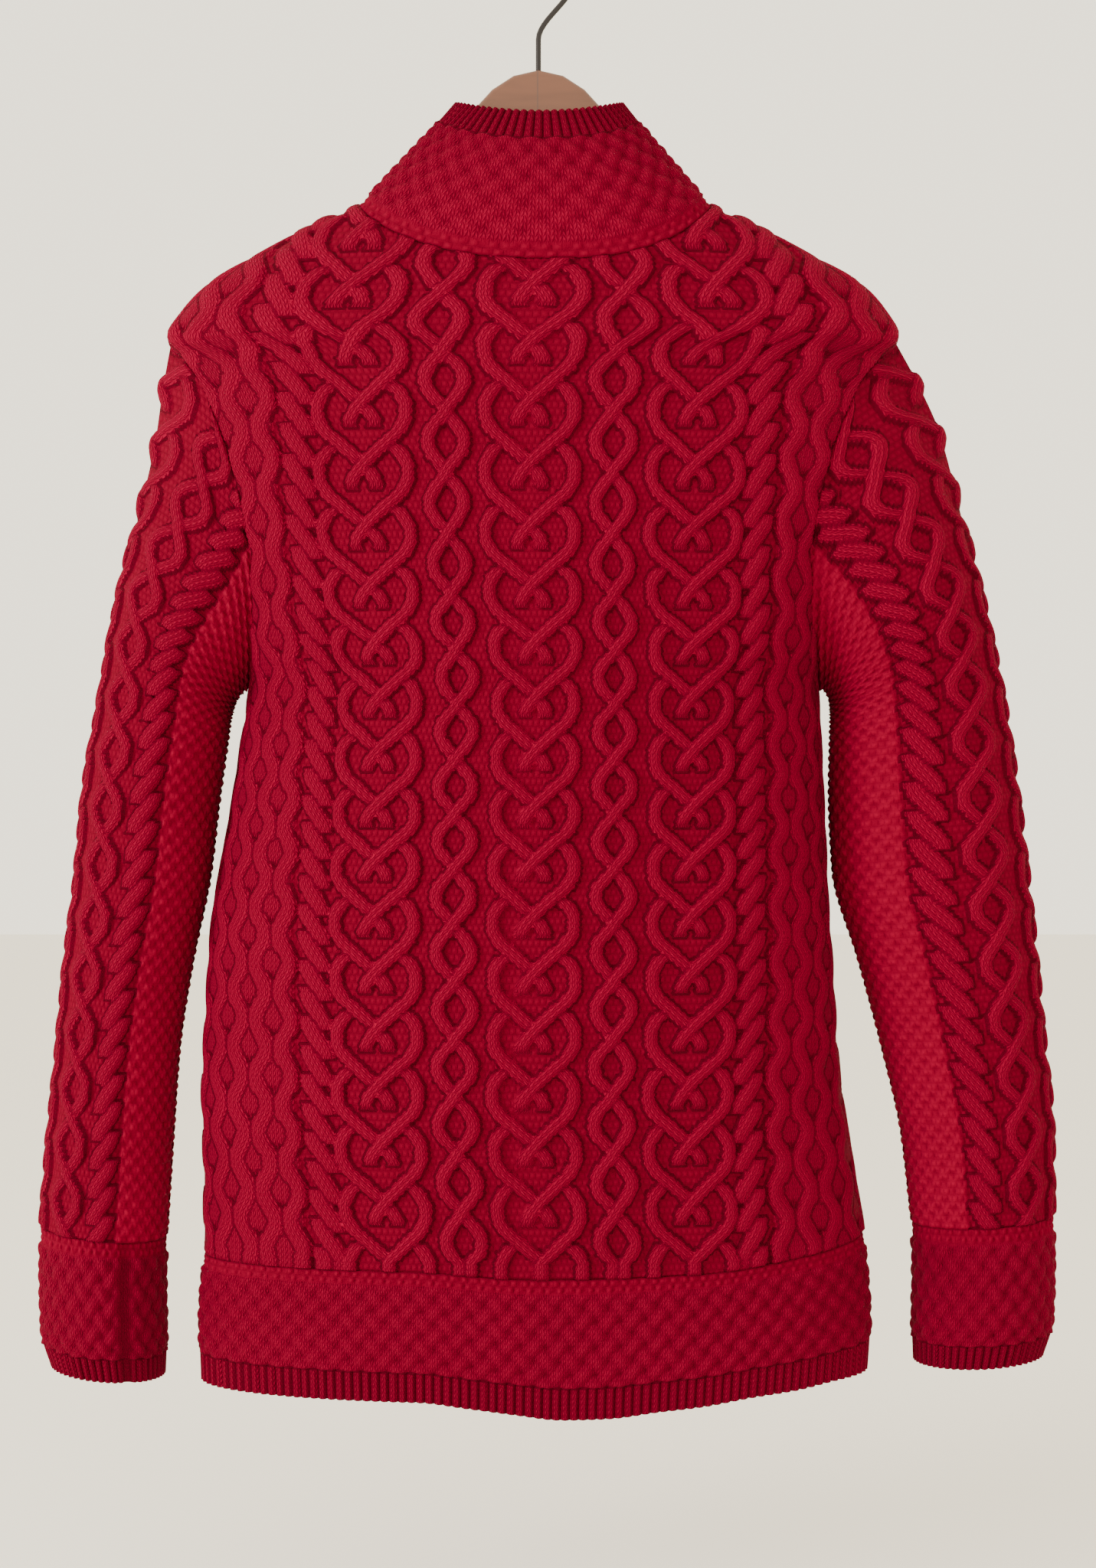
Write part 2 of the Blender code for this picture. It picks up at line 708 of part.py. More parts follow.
def neck_seam(front, samples=24):
    """The neckline from the right neck point to the left one."""
    places = NECK_KNIT * np.cos(np.linspace(0.0, math.pi, samples + 1))
    heights = [neck_height(s, front) for s in places]
    heights[0] = heights[-1] = NECK_POINT_Z
    points = [torso_point(s, z, front) for s, z in zip(places, heights)]
    points[0] = points[0] * (1, 0, 1)
    points[-1] = points[-1] * (1, 0, 1)
    facing = 1 if front else -1
    outward, across = [], []
    tangents = np.gradient(np.array(points), axis=0)
    for i, (s, z) in enumerate(zip(places, heights)):
        body = torso_normal(s, z, front)
        round_x = (points[i][0] - 4.0) / 97.0
        facing_y = facing * math.sqrt(1 - min(abs(round_x), 1.0) ** 2)
        collar = np.array([round_x * 0.8, facing_y, 0.35])
        if i in (0, samples):
            body = np.array([math.copysign(0.35, s), 0.0, 0.94])
            collar = np.array([math.copysign(0.9, s), 0.0, 0.45])
        outward.append(body / np.linalg.norm(body) + collar / np.linalg.norm(collar))
        way = np.cross(tangents[i], outward[i])
        across.append(way if way[2] > 0 else -way)
    across[0] = across[0] * (1, 0, 1)
    across[-1] = across[-1] * (1, 0, 1)
    return Seam([flat_place(s, z) for s, z in zip(places, heights)], points, outward, across)


def wall(loop, rim_points, rim_outward, kept, pattern, plain_lows, place, normal, welds=()):
    """A wall over a flat loop, as points and triangles: raised outside and plain inside.

    kept are the rim samples that the inner face shares. welds pairs rim samples that are one point.
    """
    flat, rises, faces, rim = net_of(loop, *pattern)
    plain_loop = [loop[k] for k in kept]
    plain_flat, _, plain_faces, plain_rim = net_of(plain_loop, [], plain_lows)
    on_rim = {index: k for k, index in enumerate(rim)}
    on_plain_rim = {index: kept[k] for k, index in enumerate(plain_rim)}
    points = []
    for index, (s, t) in enumerate(flat):
        k = on_rim.get(index)
        points.append(rim_points[k] if k is not None else place(s, t) + normal(s, t) * rises[index])
    count = len(points)
    for index, (s, t) in enumerate(plain_flat):
        k = on_plain_rim.get(index)
        if k is None:
            points.append(place(s, t) - normal(s, t) * WALL)
        else:
            points.append(rim_points[k] - rim_outward[k] * WALL)
    inner = [count + index for index in plain_rim]
    joined = dict(welds)
    skipped = {pair for pair in zip(kept, kept[1:] + kept[:1]) if welded_edge(pair, joined)}
    all_faces = list(faces)
    all_faces += [tuple(count + i for i in face[::-1]) for face in plain_faces]
    all_faces += rim_faces(points, rim, inner, kept, skipped)
    swap = {}
    for a, b in welds:
        swap[rim[a]] = rim[b]
        if a in kept:
            swap[inner[kept.index(a)]] = inner[kept.index(b)]
    all_faces = [tuple(swap.get(i, i) for i in face) for face in all_faces]
    used = sorted({i for face in all_faces for i in face})
    places = {index: k for k, index in enumerate(used)}
    return [points[i] for i in used], [tuple(places[i] for i in face) for face in all_faces]


def welded_edge(pair, joined):
    """Whether a rim edge lies along a weld, and not across the end of one."""
    partners = set(joined.values())
    return all(k in joined for k in pair) or all(k in partners for k in pair)


def panel(name, front, collection):
    """The back or the front, from the hem seam to the shoulders."""
    pull = 1.0 if front else -1.0
    parts = [
        (hem_seam(front), -1.0),
        (side_seam(1), pull),
        (armhole_seam(1, front).reverse(), -1.0),
        (shoulder_seam(1), pull),
        (neck_seam(front), -1.0),
        (shoulder_seam(-1).reverse(), pull),
        (armhole_seam(-1, front), -1.0),
        (side_seam(-1).reverse(), pull),
    ]
    loop, rim_points, rim_outward = join_rims(parts)
    top = NECK_POINT_Z - HEM_SEAM_Z
    plain = [(s, t, 0.0) for t in np.arange(28.0, top, 52.0) for s in np.arange(-177.0, 178.0, 44.25)]
    ridges, lows = body_pattern(top, not front)
    near_top = [
        (side * knit_at_height(z) * share, z - HEM_SEAM_Z, 0.0)
        for z in SHOULDER_HEIGHTS
        for share in SHOULDER_SHARES
        for side in (-1, 1)
    ]
    return add_mesh(
        name,
        *wall(
            loop,
            rim_points,
            rim_outward,
            list(range(len(loop))),
            (ridges, lows + near_top),
            plain + near_top,
            lambda s, t: torso_point(s, t + HEM_SEAM_Z, front),
            lambda s, t: torso_normal(s, t + HEM_SEAM_Z, front),
        ),
        collection,
    )


def sleeve_curves(rows):
    return [table_curve(rows, column) for column in range(1, 6)]


def sleeve_place(side, front_curves):
    """A function from a sleeve's knit place to its outer ground."""
    outer_x, outer_z, inner_x, inner_z, depth = front_curves
    loop = armhole_seam(side, False, 40)
    start = loop.points[0]
    chord = loop.points[-1] - start
    length = np.linalg.norm(chord)
    along = chord / length
    bow = np.array([-along[2], 0.0, along[0]])
    shares = np.linspace(0.0, 1.0, len(loop.points))
    alpha = np.array([(p - start).dot(along) / length for p in loop.points])
    beta = np.array([(p - start).dot(bow) for p in loop.points])
    wide = np.array([abs(p[1]) for p in loop.points])
    first_outer = np.array([outer_x(0.0), 0.0, outer_z(0.0)])
    first_inner = np.array([inner_x(0.0), 0.0, inner_z(0.0)])

    def place(s, t):
        q = min(abs(s) / SLEEVE_KNIT_HALF, 1.0)
        v = 1.0 - min(max(t, 0.0), SLEEVE_KNIT_LENGTH) / SLEEVE_KNIT_LENGTH
        outer = np.array([outer_x(v), 0.0, outer_z(v)])
        inner = np.array([inner_x(v), 0.0, inner_z(v)])
        fade = 1.0 - smooth_step(v / LOOP_FADE)
        outer = outer + (start - first_outer) * fade
        inner = inner + (start + chord - first_inner) * fade
        turn = math.pi * q
        a = (1 - math.cos(turn)) / 2 * (1 - fade) + np.interp(q, shares, alpha) * fade
        b = np.interp(q, shares, beta) * fade
        y = math.sin(turn) * float(depth(v)) * (1 - fade) + np.interp(q, shares, wide) * fade
        way = inner - outer
        span = np.linalg.norm(way)
        way = way / span
        side_way = np.array([-way[2], 0.0, way[0]])
        point = outer + way * span * a + side_way * b
        return point + np.array([0.0, y if s > 0 else -y, 0.0])

    return place


def numeric_normal(place, half, length, facing):
    """The outward normal of a tube given by a place function, across its weld too."""

    def wrap(s):
        return s - 2 * half if s > half else s + 2 * half if s < -half else s

    def normal(s, t):
        step = 1.0
        low, high = max(t - step, 0.0), min(t + step, length)
        across = place(wrap(s + step), t) - place(wrap(s - step), t)
        up = place(s, high) - place(s, low)
        value = np.cross(across, up) * facing
        return value / max(np.linalg.norm(value), 1e-9)

    return normal


def weld_line(half, heights, place, normal, side):
    """The line where a tube's knitting meets itself, as one edge of its flat loop."""
    return Seam(
        [(side * half, t) for t in heights],
        [place(half, t) for t in heights],
        [normal(half, t) for t in heights],
        [(0, 0, 1)] * len(heights),
    )


def tube(name, bottom, top, half, heights, place, normal, pattern, plain, collection, keep=1):
    """A tube from its bottom and top seams, each given with the sign of the way it is pulled back."""
    right = weld_line(half, heights, place, normal, 1)
    left = weld_line(half, heights, place, normal, -1)
    count_bottom = len(bottom[0].places) - 1
    count_top = len(top[0].places) - 1
    rise = len(heights) - 1
    loop, points, outward = [], [], []
    for seam, sign in (bottom, (right, None), (top[0].reverse(), top[1]), (left.reverse(), None)):
        last = len(seam.places) - 1
        for i in range(last + 1):
            if sign is None and i in (0, last):
                continue
            loop.append(seam.places[i])
            points.append(seam.points[i] + (seam.across[i] * sign * HALF_GAP if sign else 0.0))
            outward.append(seam.outward[i])
    first_right = count_bottom + 1
    first_top = first_right + rise - 1
    first_left = first_top + count_top + 1
    welds = [(count_bottom, 0), (first_top, first_top + count_top)]
    welds += [(first_right + i, first_left + rise - 2 - i) for i in range(rise - 1)]
    kept = [k for k in range(len(loop)) if k > count_bottom or k % keep == 0 or k == count_bottom]
    points[count_bottom] = points[0]
    outward[count_bottom] = outward[0]
    points[first_top] = points[first_top + count_top]
    outward[first_top] = outward[first_top + count_top]
    points, faces = wall(loop, points, outward, kept, pattern, plain, place, normal, welds)
    return add_mesh(name, points, faces, collection)


def ring_seam(half, samples, t, place, normal, across, rise=0.0):
    """Samples round a tube at knit height t; odd ones are raised, as the crests of a rib."""
    spots = np.linspace(-half, half, samples + 1)
    points = []
    for i, s in enumerate(spots):
        points.append(place(s, t) + normal(s, t) * (rise if i % 2 else 0.0))
    return Seam([(s, t) for s in spots], points, [normal(s, t) for s in spots], [across] * len(spots))


def armhole_ring(side):
    """The armhole as the top of a sleeve: up the back from the underarm, and down the front."""
    back, front = armhole_seam(side, False), armhole_seam(side, True)
    count = len(back.points) - 1
    spots = [(-SLEEVE_KNIT_HALF * (1 - i / count), SLEEVE_KNIT_LENGTH) for i in range(count + 1)]
    spots += [(SLEEVE_KNIT_HALF * i / count, SLEEVE_KNIT_LENGTH) for i in range(1, count + 1)]
    return Seam(
        spots,
        back.points[::-1] + front.points[1:],
        back.outward[::-1] + front.outward[1:],
        back.across[::-1] + front.across[1:],
    )


def sleeve(name, side, rows, collection):
    place = sleeve_place(side, sleeve_curves(rows))
    normal = numeric_normal(place, SLEEVE_KNIT_HALF, SLEEVE_KNIT_LENGTH, side)
    heights = np.linspace(0.0, SLEEVE_KNIT_LENGTH, 17)
    bottom = ring_seam(SLEEVE_KNIT_HALF, 26, 0.0, place, normal, (0, 0, -1))
    levels = np.arange(38.0, SLEEVE_KNIT_LENGTH, 40.0)
    plain = [(s, t, 0.0) for t in levels for s in (-99.0, -66.0, -33.0, 0.0, 33.0, 66.0, 99.0)]
    return tube(
        name, (bottom, -1.0), (armhole_ring(side), 1.0), SLEEVE_KNIT_HALF, heights,
        place, normal, sleeve_pattern(place), plain, collection,
    )


def band_pattern(half, height, crests):
    """Rib and basket weave of a band, with t measured up from its free edge."""
    pitch = 2 * half / crests
    ridges, lows = [], []
    for i in range(2 * crests + 1):
        s = -half + pitch / 2 * i
        if i % 2:
            ridges.append([(s, 0.0, RIB_RISE), (s, RIB_HEIGHT - 1.5, RIB_RISE)])
    lowest, highest = RIB_HEIGHT + 6.0, height - SEED_HEIGHT - 2.0
    bumps = max(round(2 * half / BASKET_PITCH), 1)
    step = 2 * half / bumps
    for row in range(max(int((highest - lowest) / BASKET_ROW) + 1, 1)):
        t = lowest + row * BASKET_ROW
        for i in range(bumps):
            s = -half + step * (i + (0.25 if row % 2 else 0.75))
            lows.append((s, t, BASKET_RISE))
            if row % 2:
                lows.append((s + step / 2, t, 0.0))
    return ridges, lows


def hem_band(collection):
    """The welt: once round the hem, from the left side across the back, and home across the front."""
    half, height = 2 * KNIT_HALF, HEM_HEIGHT

    def place(s, t):
        face = "back" if s <= 0.0 else "front"
        spot = s + KNIT_HALF if s <= 0.0 else KNIT_HALF - s
        low = HEM_SEAM_Z - height + float(EDGE_RISE[face](spot))
        z = low + (HEM_SEAM_Z + float(SEAM_RISE[face](spot)) - low) * t / height
        return torso_point(spot, z, face == "front")

    normal = numeric_normal(place, half, height, 1)
    crests = HEM_CRESTS
    bottom = ring_seam(half, 2 * crests, 0.0, place, normal, (0, 0, -1), RIB_RISE)
    top = ring_seam(half, 84, height, place, normal, (0, 0, -1))
    heights = np.linspace(0.0, height, 5)
    return tube(
        "hem_band", (bottom, 0.0), (top, 1.0), half, heights, place, normal,
        band_pattern(half, height, crests), [], collection, keep=4,
    )


def cuff(name, side, rows, collection):
    """A cuff under the sleeve's seam, from the same outline."""
    place_sleeve = sleeve_place(side, sleeve_curves(rows))
    outer_x, inner_x, drop, depth = (table_curve(CUFF_SHAPE, column) for column in (1, 2, 3, 4))
    height = CUFF_SHAPE[-1][3]
    half = SLEEVE_KNIT_HALF
    outer_end, inner_end = place_sleeve(0.0, 0.0), place_sleeve(half, 0.0)

    def place(s, t):
        v = 1.0 - t / height
        outer = outer_end + np.array([side * float(outer_x(v)), 0.0, -float(drop(v))])
        inner = inner_end + np.array([side * float(inner_x(v)), 0.0, -float(drop(v))])
        turn = math.pi * s / half
        middle, reach = (outer + inner) / 2, (outer - inner) / 2
        return middle + reach * math.cos(turn) + np.array([0.0, float(depth(v)) * math.sin(turn), 0.0])

    normal = numeric_normal(place, half, height, side)
    crests = CUFF_CRESTS
    bottom = ring_seam(half, 2 * crests, 0.0, place, normal, (0, 0, -1), RIB_RISE)
    top = ring_seam(half, 26, height, place, normal, (0, 0, -1))
    heights = np.linspace(0.0, height, 5)
    return tube(
        name, (bottom, 0.0), (top, 1.0), half, heights, place, normal,
        band_pattern(half, height, crests), [], collection, keep=4,
    )


def collar_place():
    """A function from a place on the collar to its outer ground; t runs down from the free edge."""
    back, front = neck_seam(False, 48), neck_seam(True, 48)
    ring = np.array(back.points[::-1] + front.points[1:])
    shares = np.linspace(-1.0, 1.0, len(ring))
    top = COLLAR_TOP

    def place(s, t):
        q = s / COLLAR_HALF
        u = 1.0 - t / COLLAR_HEIGHT
        base = np.array([np.interp(q, shares, ring[:, axis]) for axis in range(3)])
        turn = math.pi * (q + 1.0)
        depth = top["back"] if q < 0 else top["front"]
        low_z = top["back_z"] if q < 0 else top["front_z"]
        fall = abs(math.sin(turn)) ** 1.5
        edge = np.array([
            top["x"] - top["half"] * math.cos(turn),
            -depth * math.sin(turn),
            top["side_z"] + (low_z - top["side_z"]) * fall,
        ])
        rise = 1.0 - u
        full = COLLAR_BELLY["side"] + (COLLAR_BELLY["middle"] - COLLAR_BELLY["side"]) * abs(math.sin(turn))
        belly = full * math.sin(math.pi * (1.0 - rise))
        out = np.array([-math.cos(turn), -math.sin(turn), 0.0])
        return edge * u + base * (1.0 - u) + out * belly

    return place


def collar(collection):
    """The funnel collar. Its flat net is drawn with the free edge at the bottom, as a band's is."""
    place = collar_place()
    normal = numeric_normal(place, COLLAR_HALF, COLLAR_HEIGHT, -1)
    crests = COLLAR_CRESTS
    bottom = ring_seam(COLLAR_HALF, 2 * crests, 0.0, place, normal, (0, 0, 1), RIB_RISE)
    back, front = neck_seam(False), neck_seam(True)
    count = len(back.points) - 1
    spots = [(COLLAR_HALF * (i / count - 1), COLLAR_HEIGHT) for i in range(2 * count + 1)]
    top = Seam(
        spots,
        back.points[::-1] + front.points[1:],
        back.outward[::-1] + front.outward[1:],
        back.across[::-1] + front.across[1:],
    )
    heights = np.linspace(0.0, COLLAR_HEIGHT, 5)
    plain = [(s, t, 0.0) for t in (26.0, 52.0) for s in np.arange(-170.0, 171.0, 34.0)]
    return tube(
        "collar", (bottom, 0.0), (top, 1.0), COLLAR_HALF, heights, place, normal,
        band_pattern(COLLAR_HALF, COLLAR_HEIGHT, crests), plain, collection, keep=4,
    )


def hanger_top():
    """The hanger's top edge from left to right: each arm lies just under its shoulder's inner wall."""
    arms = {}
    for side in (-1, 1):
        seam = shoulder_seam(side, 14)
        under = [p - v * (WALL + HANGER_CLEAR) for p, v in zip(seam.points, seam.outward)]
        arms[side] = [(p[0], p[2]) for p in under if abs(p[0]) < HANGER_REACH and abs(p[0]) > 97.0]
    dome = [(-x, z) for x, z in DOME_EDGE[:0:-1]] + list(DOME_EDGE)
    return arms[-1] + dome + arms[1][::-1]


def outline_curve(name, outline, thickness, bevel):
    """A closed flat outline in X and Z, filled and given its thickness along Y."""
    data = bpy.data.curves.new(name, "CURVE")
    data.dimensions = "2D"
    data.fill_mode = "BOTH"
    data.extrude = thickness / 2 * MM
    spline = data.splines.new("POLY")
    spline.points.add(len(outline) - 1)
    for point, (x, z) in zip(spline.points, outline):
        point.co = (x * MM, z * MM, 0.0, 1.0)
    spline.use_cyclic_u = True
    obj = bpy.data.objects.new(name, data)
    obj.rotation_euler = (math.pi / 2, 0.0, 0.0)
    weld = obj.modifiers.new("weld", "WELD")
    weld.merge_threshold = 0.00005
    edge = obj.modifiers.new("rounded edge", "BEVEL")
    edge.width = bevel * MM
    edge.segments = 1
    edge.limit_method = "ANGLE"
    edge.angle_limit = math.radians(60)
    return obj


def hanger_body(collection):
    """The wooden hanger: one board, with the dome that takes the hook and two sloping arms."""
    depth = table_curve(HANGER_DEPTH, 1)
    top = hanger_top()
    bottom = [(x * 0.985, z - float(depth(abs(x)))) for x, z in top[::2]]
    obj = outline_curve("hanger_body", top + bottom[::-1], HANGER_THICK, HANGER_EDGE)
    obj.data.materials.append(material("wood"))
    collection.objects.link(obj)
    return obj


def hanger_hook(collection):
    """The wire hook: a stem from the dome, a sweep to one side and most of a circle."""
    radius = HOOK_RADIUS
    middle = WIRE / 2 - radius
    path = [(0.0, DOME_TOP_Z + 0.3), (0.0, DOME_TOP_Z + 9.0), (0.0, HOOK_STEM_Z)]
    for i in range(1, 6):
        share = smooth_step(i / 6.0)
        path.append((radius * share, HOOK_STEM_Z + (middle - HOOK_STEM_Z) * i / 6.0))
    for i in range(15):
        turn = math.radians(-4.0 + 214.0 * i / 14)
        path.append((radius * math.cos(turn), middle + radius * math.sin(turn)))
    data = bpy.data.curves.new("hanger_hook", "CURVE")
    data.dimensions = "3D"
    data.bevel_depth = WIRE / 2 * MM
    data.bevel_resolution = 1
    data.use_fill_caps = True
    spline = data.splines.new("POLY")
    spline.points.add(len(path) - 1)
    for point, (x, z) in zip(spline.points, path):
        point.co = (x * MM, 0.0, z * MM, 1.0)
    return add_object("hanger_hook", data, "wire", collection)


def main():
    clear_scene()
    collection = bpy.data.collections.new(COLLECTION)
    bpy.context.scene.collection.children.link(collection)
    panel("back_panel", False, collection)
    panel("front_panel", True, collection)
    sleeve("sleeve_left", -1, SLEEVE_LEFT, collection)
    sleeve("sleeve_right", 1, SLEEVE_RIGHT, collection)
    cuff("cuff_left", -1, SLEEVE_LEFT, collection)
    cuff("cuff_right", 1, SLEEVE_RIGHT, collection)
    hem_band(collection)
    collar(collection)
    hanger_body(collection)
    hanger_hook(collection)


main()
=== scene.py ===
# %% [markdown]
# # An Aran sweater on a wooden hanger
#
# A cerise Aran sweater hangs with its back to us. Every knitted piece of it is one surface in space
# with a stitch pattern on top, so this lesson has three parts: where the cloth is, how the cables
# stand up from it, and how wool answers to light. The hanger and its hook are small jobs for the
# ordinary modelling tools.

import math
from functools import partial
from itertools import chain

import bpy
import numpy as np
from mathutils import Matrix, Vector
from mathutils.geometry import delaunay_2d_cdt


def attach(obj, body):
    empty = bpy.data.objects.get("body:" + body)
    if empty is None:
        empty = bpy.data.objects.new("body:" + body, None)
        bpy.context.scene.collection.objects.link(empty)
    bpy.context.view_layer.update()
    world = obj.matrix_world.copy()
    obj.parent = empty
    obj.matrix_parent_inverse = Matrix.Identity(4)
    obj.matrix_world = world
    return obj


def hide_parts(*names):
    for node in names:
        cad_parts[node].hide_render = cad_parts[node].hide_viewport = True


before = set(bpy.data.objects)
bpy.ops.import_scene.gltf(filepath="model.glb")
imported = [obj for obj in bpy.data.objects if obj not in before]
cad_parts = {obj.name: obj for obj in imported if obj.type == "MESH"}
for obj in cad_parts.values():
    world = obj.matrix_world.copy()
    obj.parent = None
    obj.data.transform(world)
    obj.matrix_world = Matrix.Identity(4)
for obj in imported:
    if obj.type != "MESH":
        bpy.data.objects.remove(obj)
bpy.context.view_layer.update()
MM = 0.001

# %% [markdown]
# ## Measurements of the garment
#
# A knitter thinks in widths at heights. These tables do the same: each row is one level of the
# garment, measured from the hook's inner top, and a smooth curve through the rows gives everything
# between them. The torso is wider in its knitting than it looks, because the sides turn under.

# %% Tables of the torso and sleeves
def table(columns, rows):
    """Rows of numbers under named columns."""
    return [dict(zip(columns.split(), row)) for row in rows]


TORSO = table("z half side back knit turn x", [
    (-806, 184.5, 0.0, 53.0, 199, 90, -2.5),
    (-770, 186.0, 0.0, 55.0, 199, 90, -2.0),
    (-732, 183.5, 0.0, 56.0, 199, 90, -2.0),
    (-690, 180.0, 0.0, 60.0, 199, 90, -5.0),
    (-623, 175.5, 0.0, 65.0, 199, 90, -10.0),
    (-555, 171.0, 0.0, 69.0, 199, 90, -10.0),
    (-485, 163.5, 0.0, 70.0, 199, 90, -6.0),
    (-425, 157.5, 0.0, 68.0, 199, 90, -3.0),
    (-412, 156.0, 0.0, 67.5, 199, 90, -2.5),
    (-400, 155.0, 14.0, 67.0, 184, 86, -2.5),
    (-385, 153.0, 26.0, 66.0, 171, 82, -3.0),
    (-350, 151.5, 36.0, 63.0, 162, 76, -4.0),
    (-320, 156.0, 38.0, 60.0, 160, 72, -4.5),
    (-285, 166.0, 34.0, 56.0, 160, 70, -4.5),
    (-251, 180.0, 24.0, 51.0, 160, 70, -4.5),
    (-236, 190.5, 14.0, 48.0, 160, 76, -4.0),
    (-221, 203.0, 0.0, 45.5, 160, 90, -3.0),
    (-211, 198.0, 0.0, 44.0, 157, 90, -2.5),
    (-193, 182.0, 0.0, 41.0, 149, 90, -2.0),
    (-176, 153.0, 0.0, 38.0, 130, 90, -2.5),
    (-159, 123.0, 0.0, 34.0, 110, 90, -2.5),
    (-144, 89.0, 0.0, 26.0, 83, 90, -1.5),
    (-128, 56.0, 0.0, 20.0, 54, 90, 0.0),
])
SLEEVE_LEFT = table("share out_x out_z in_x in_z deep", [
    (0.0, -206.0, -221, -158.5, -412, 36.0),
    (0.05, -211.0, -249, -163.0, -415, 40.0),
    (0.1, -215.0, -277, -166.5, -417, 43.0),
    (0.2, -226.0, -326, -172.0, -424, 43.0),
    (0.3, -236.5, -375, -174.5, -432, 41.0),
    (0.4, -245.0, -424, -177.0, -450, 39.0),
    (0.5, -253.5, -473, -181.0, -479, 37.0),
    (0.6, -258.0, -521, -186.0, -521, 36.0),
    (0.7, -264.0, -570, -196.0, -570, 35.0),
    (0.8, -268.5, -619, -203.5, -619, 34.0),
    (0.9, -273.5, -668, -207.0, -668, 33.0),
    (1.0, -277.5, -717, -210.5, -724, 31.0),
])
SLEEVE_RIGHT = table("share out_x out_z in_x in_z deep", [
    (0.0, 200.0, -221, 153.5, -412, 36.0),
    (0.05, 214.0, -247, 158.5, -415, 40.0),
    (0.1, 225.0, -272, 162.0, -417, 43.0),
    (0.2, 238.0, -322, 165.5, -424, 43.0),
    (0.3, 249.5, -372, 166.0, -432, 41.0),
    (0.4, 259.5, -421, 165.5, -450, 39.0),
    (0.5, 267.0, -470, 165.0, -477, 37.0),
    (0.6, 273.0, -519, 167.0, -519, 36.0),
    (0.7, 278.0, -567, 181.0, -567, 35.0),
    (0.8, 282.5, -615, 194.0, -615, 34.0),
    (0.9, 287.0, -663, 205.5, -665, 33.0),
    (1.0, 287.5, -711, 211.5, -716, 31.0),
])
CUFF_SHAPE = table("share out in drop deep", [
    (0.0, -0.5, 0.0, 0.0, 31.0),
    (0.3, -0.5, 1.0, 26.0, 32.0),
    (0.7, -1.5, 0.5, 59.0, 31.5),
    (1.0, -6.5, 1.0, 77.0, 29.5),
])
SEAM_LIFT = table("s back front", [
    (-199, 0.0, 0.0),
    (-64, -0.6, 1.0),
    (0, -4.4, 4.0),
    (88, -2.3, 6.0),
    (140, 4.0, 9.0),
    (199, 13.0, 13.0),
])
EDGE_LIFT = table("s back front", [
    (-199, 4.0, 4.0),
    (-100, 3.3, 5.0),
    (-60, 3.0, 6.0),
    (-34, 0.0, 6.5),
    (-9, -3.3, 7.0),
    (15, -6.0, 7.0),
    (40, -5.4, 7.5),
    (64, -2.5, 8.0),
    (90, 0.0, 8.5),
    (115, 3.7, 9.0),
    (140, 6.0, 9.5),
    (165, 9.0, 10.0),
    (199, 10.0, 10.0),
])
HEM_Z, HEM_HEIGHT, KNIT_HALF = -732.0, 74.0, 199.0
UNDERARM_Z, SHOULDER_Z, NECK_Z = -412.0, -221.0, -146.0
NECKLINE = {"back": (-184.0, 7.0, 2.6), "front": (-216.0, 2.0, 2.4)}
SLEEVE_HALF, SLEEVE_LENGTH, LOOP_FADE = 128.0, 495.0, 0.30
COLLAR_HALF, COLLAR_HEIGHT = 190.0, 78.0
WALL = 2.6
print(len(TORSO), "levels of the torso,", len(SLEEVE_LEFT), "of each sleeve")

# %% [markdown]
# ## Smooth curves through a table
#
# A straight line between rows would show as a kink in the cloth, and an ordinary spline can swing
# past the numbers. This curve keeps to them: its slope at a row is the harmonic mean of the slopes
# on both sides, and level wherever the numbers turn back.

# %% Curve through a column
def column_curve(rows, name, key):
    rows = sorted(rows, key=lambda row: row[key])
    xs = np.array([row[key] for row in rows], float)
    ys = np.array([row[name] for row in rows], float)
    steps = np.diff(xs)
    slopes = np.diff(ys) / steps
    bends = np.zeros(len(xs))
    same = slopes[:-1] * slopes[1:] > 0
    mean = 2 * slopes[:-1] * slopes[1:] / np.where(same, slopes[:-1] + slopes[1:], 1.0)
    bends[1:-1] = np.where(same, mean, 0.0)
    bends[0], bends[-1] = slopes[0], slopes[-1]

    def value(x):
        x = np.clip(np.asarray(x, float), xs[0], xs[-1])
        i = np.clip(np.searchsorted(xs, x, side="right") - 1, 0, len(steps) - 1)
        h, u = steps[i], (x - xs[i]) / steps[i]
        rise = (1 + 2 * u) * (1 - u) ** 2 * ys[i] + u * u * (3 - 2 * u) * ys[i + 1]
        return rise + u * (1 - u) ** 2 * h * bends[i] + u * u * (u - 1) * h * bends[i + 1]

    return value


def curves(rows, names, key):
    return {name: column_curve(rows, name, key) for name in names.split()}


def smooth(x):
    x = np.clip(x, 0.0, 1.0)
    return x * x * (3 - 2 * x)


def lengths_along(points):
    """How far along a line of places each place lies."""
    return np.concatenate([[0.0], np.cumsum(np.linalg.norm(np.diff(points, axis=0), axis=1))])


def read_off(spots, shares, columns):
    return np.column_stack([np.interp(spots, shares, column) for column in columns])


seam_rise, edge_rise = curves(SEAM_LIFT, "back front", "s"), curves(EDGE_LIFT, "back front", "s")
torso = curves(TORSO, "half side back knit turn x", "z")
print("half width at the waist:", round(float(torso["half"](-555)), 1), "mm")

# %% [markdown]
# ## A surface as a grid
#
# The curves are slow to ask a million times. So each surface is worked out once on a coarse grid,
# with its outward direction beside it, and any other place on it is read off between the grid's
# lines. q runs across the cloth from -1 to 1 and t up it in millimetres.

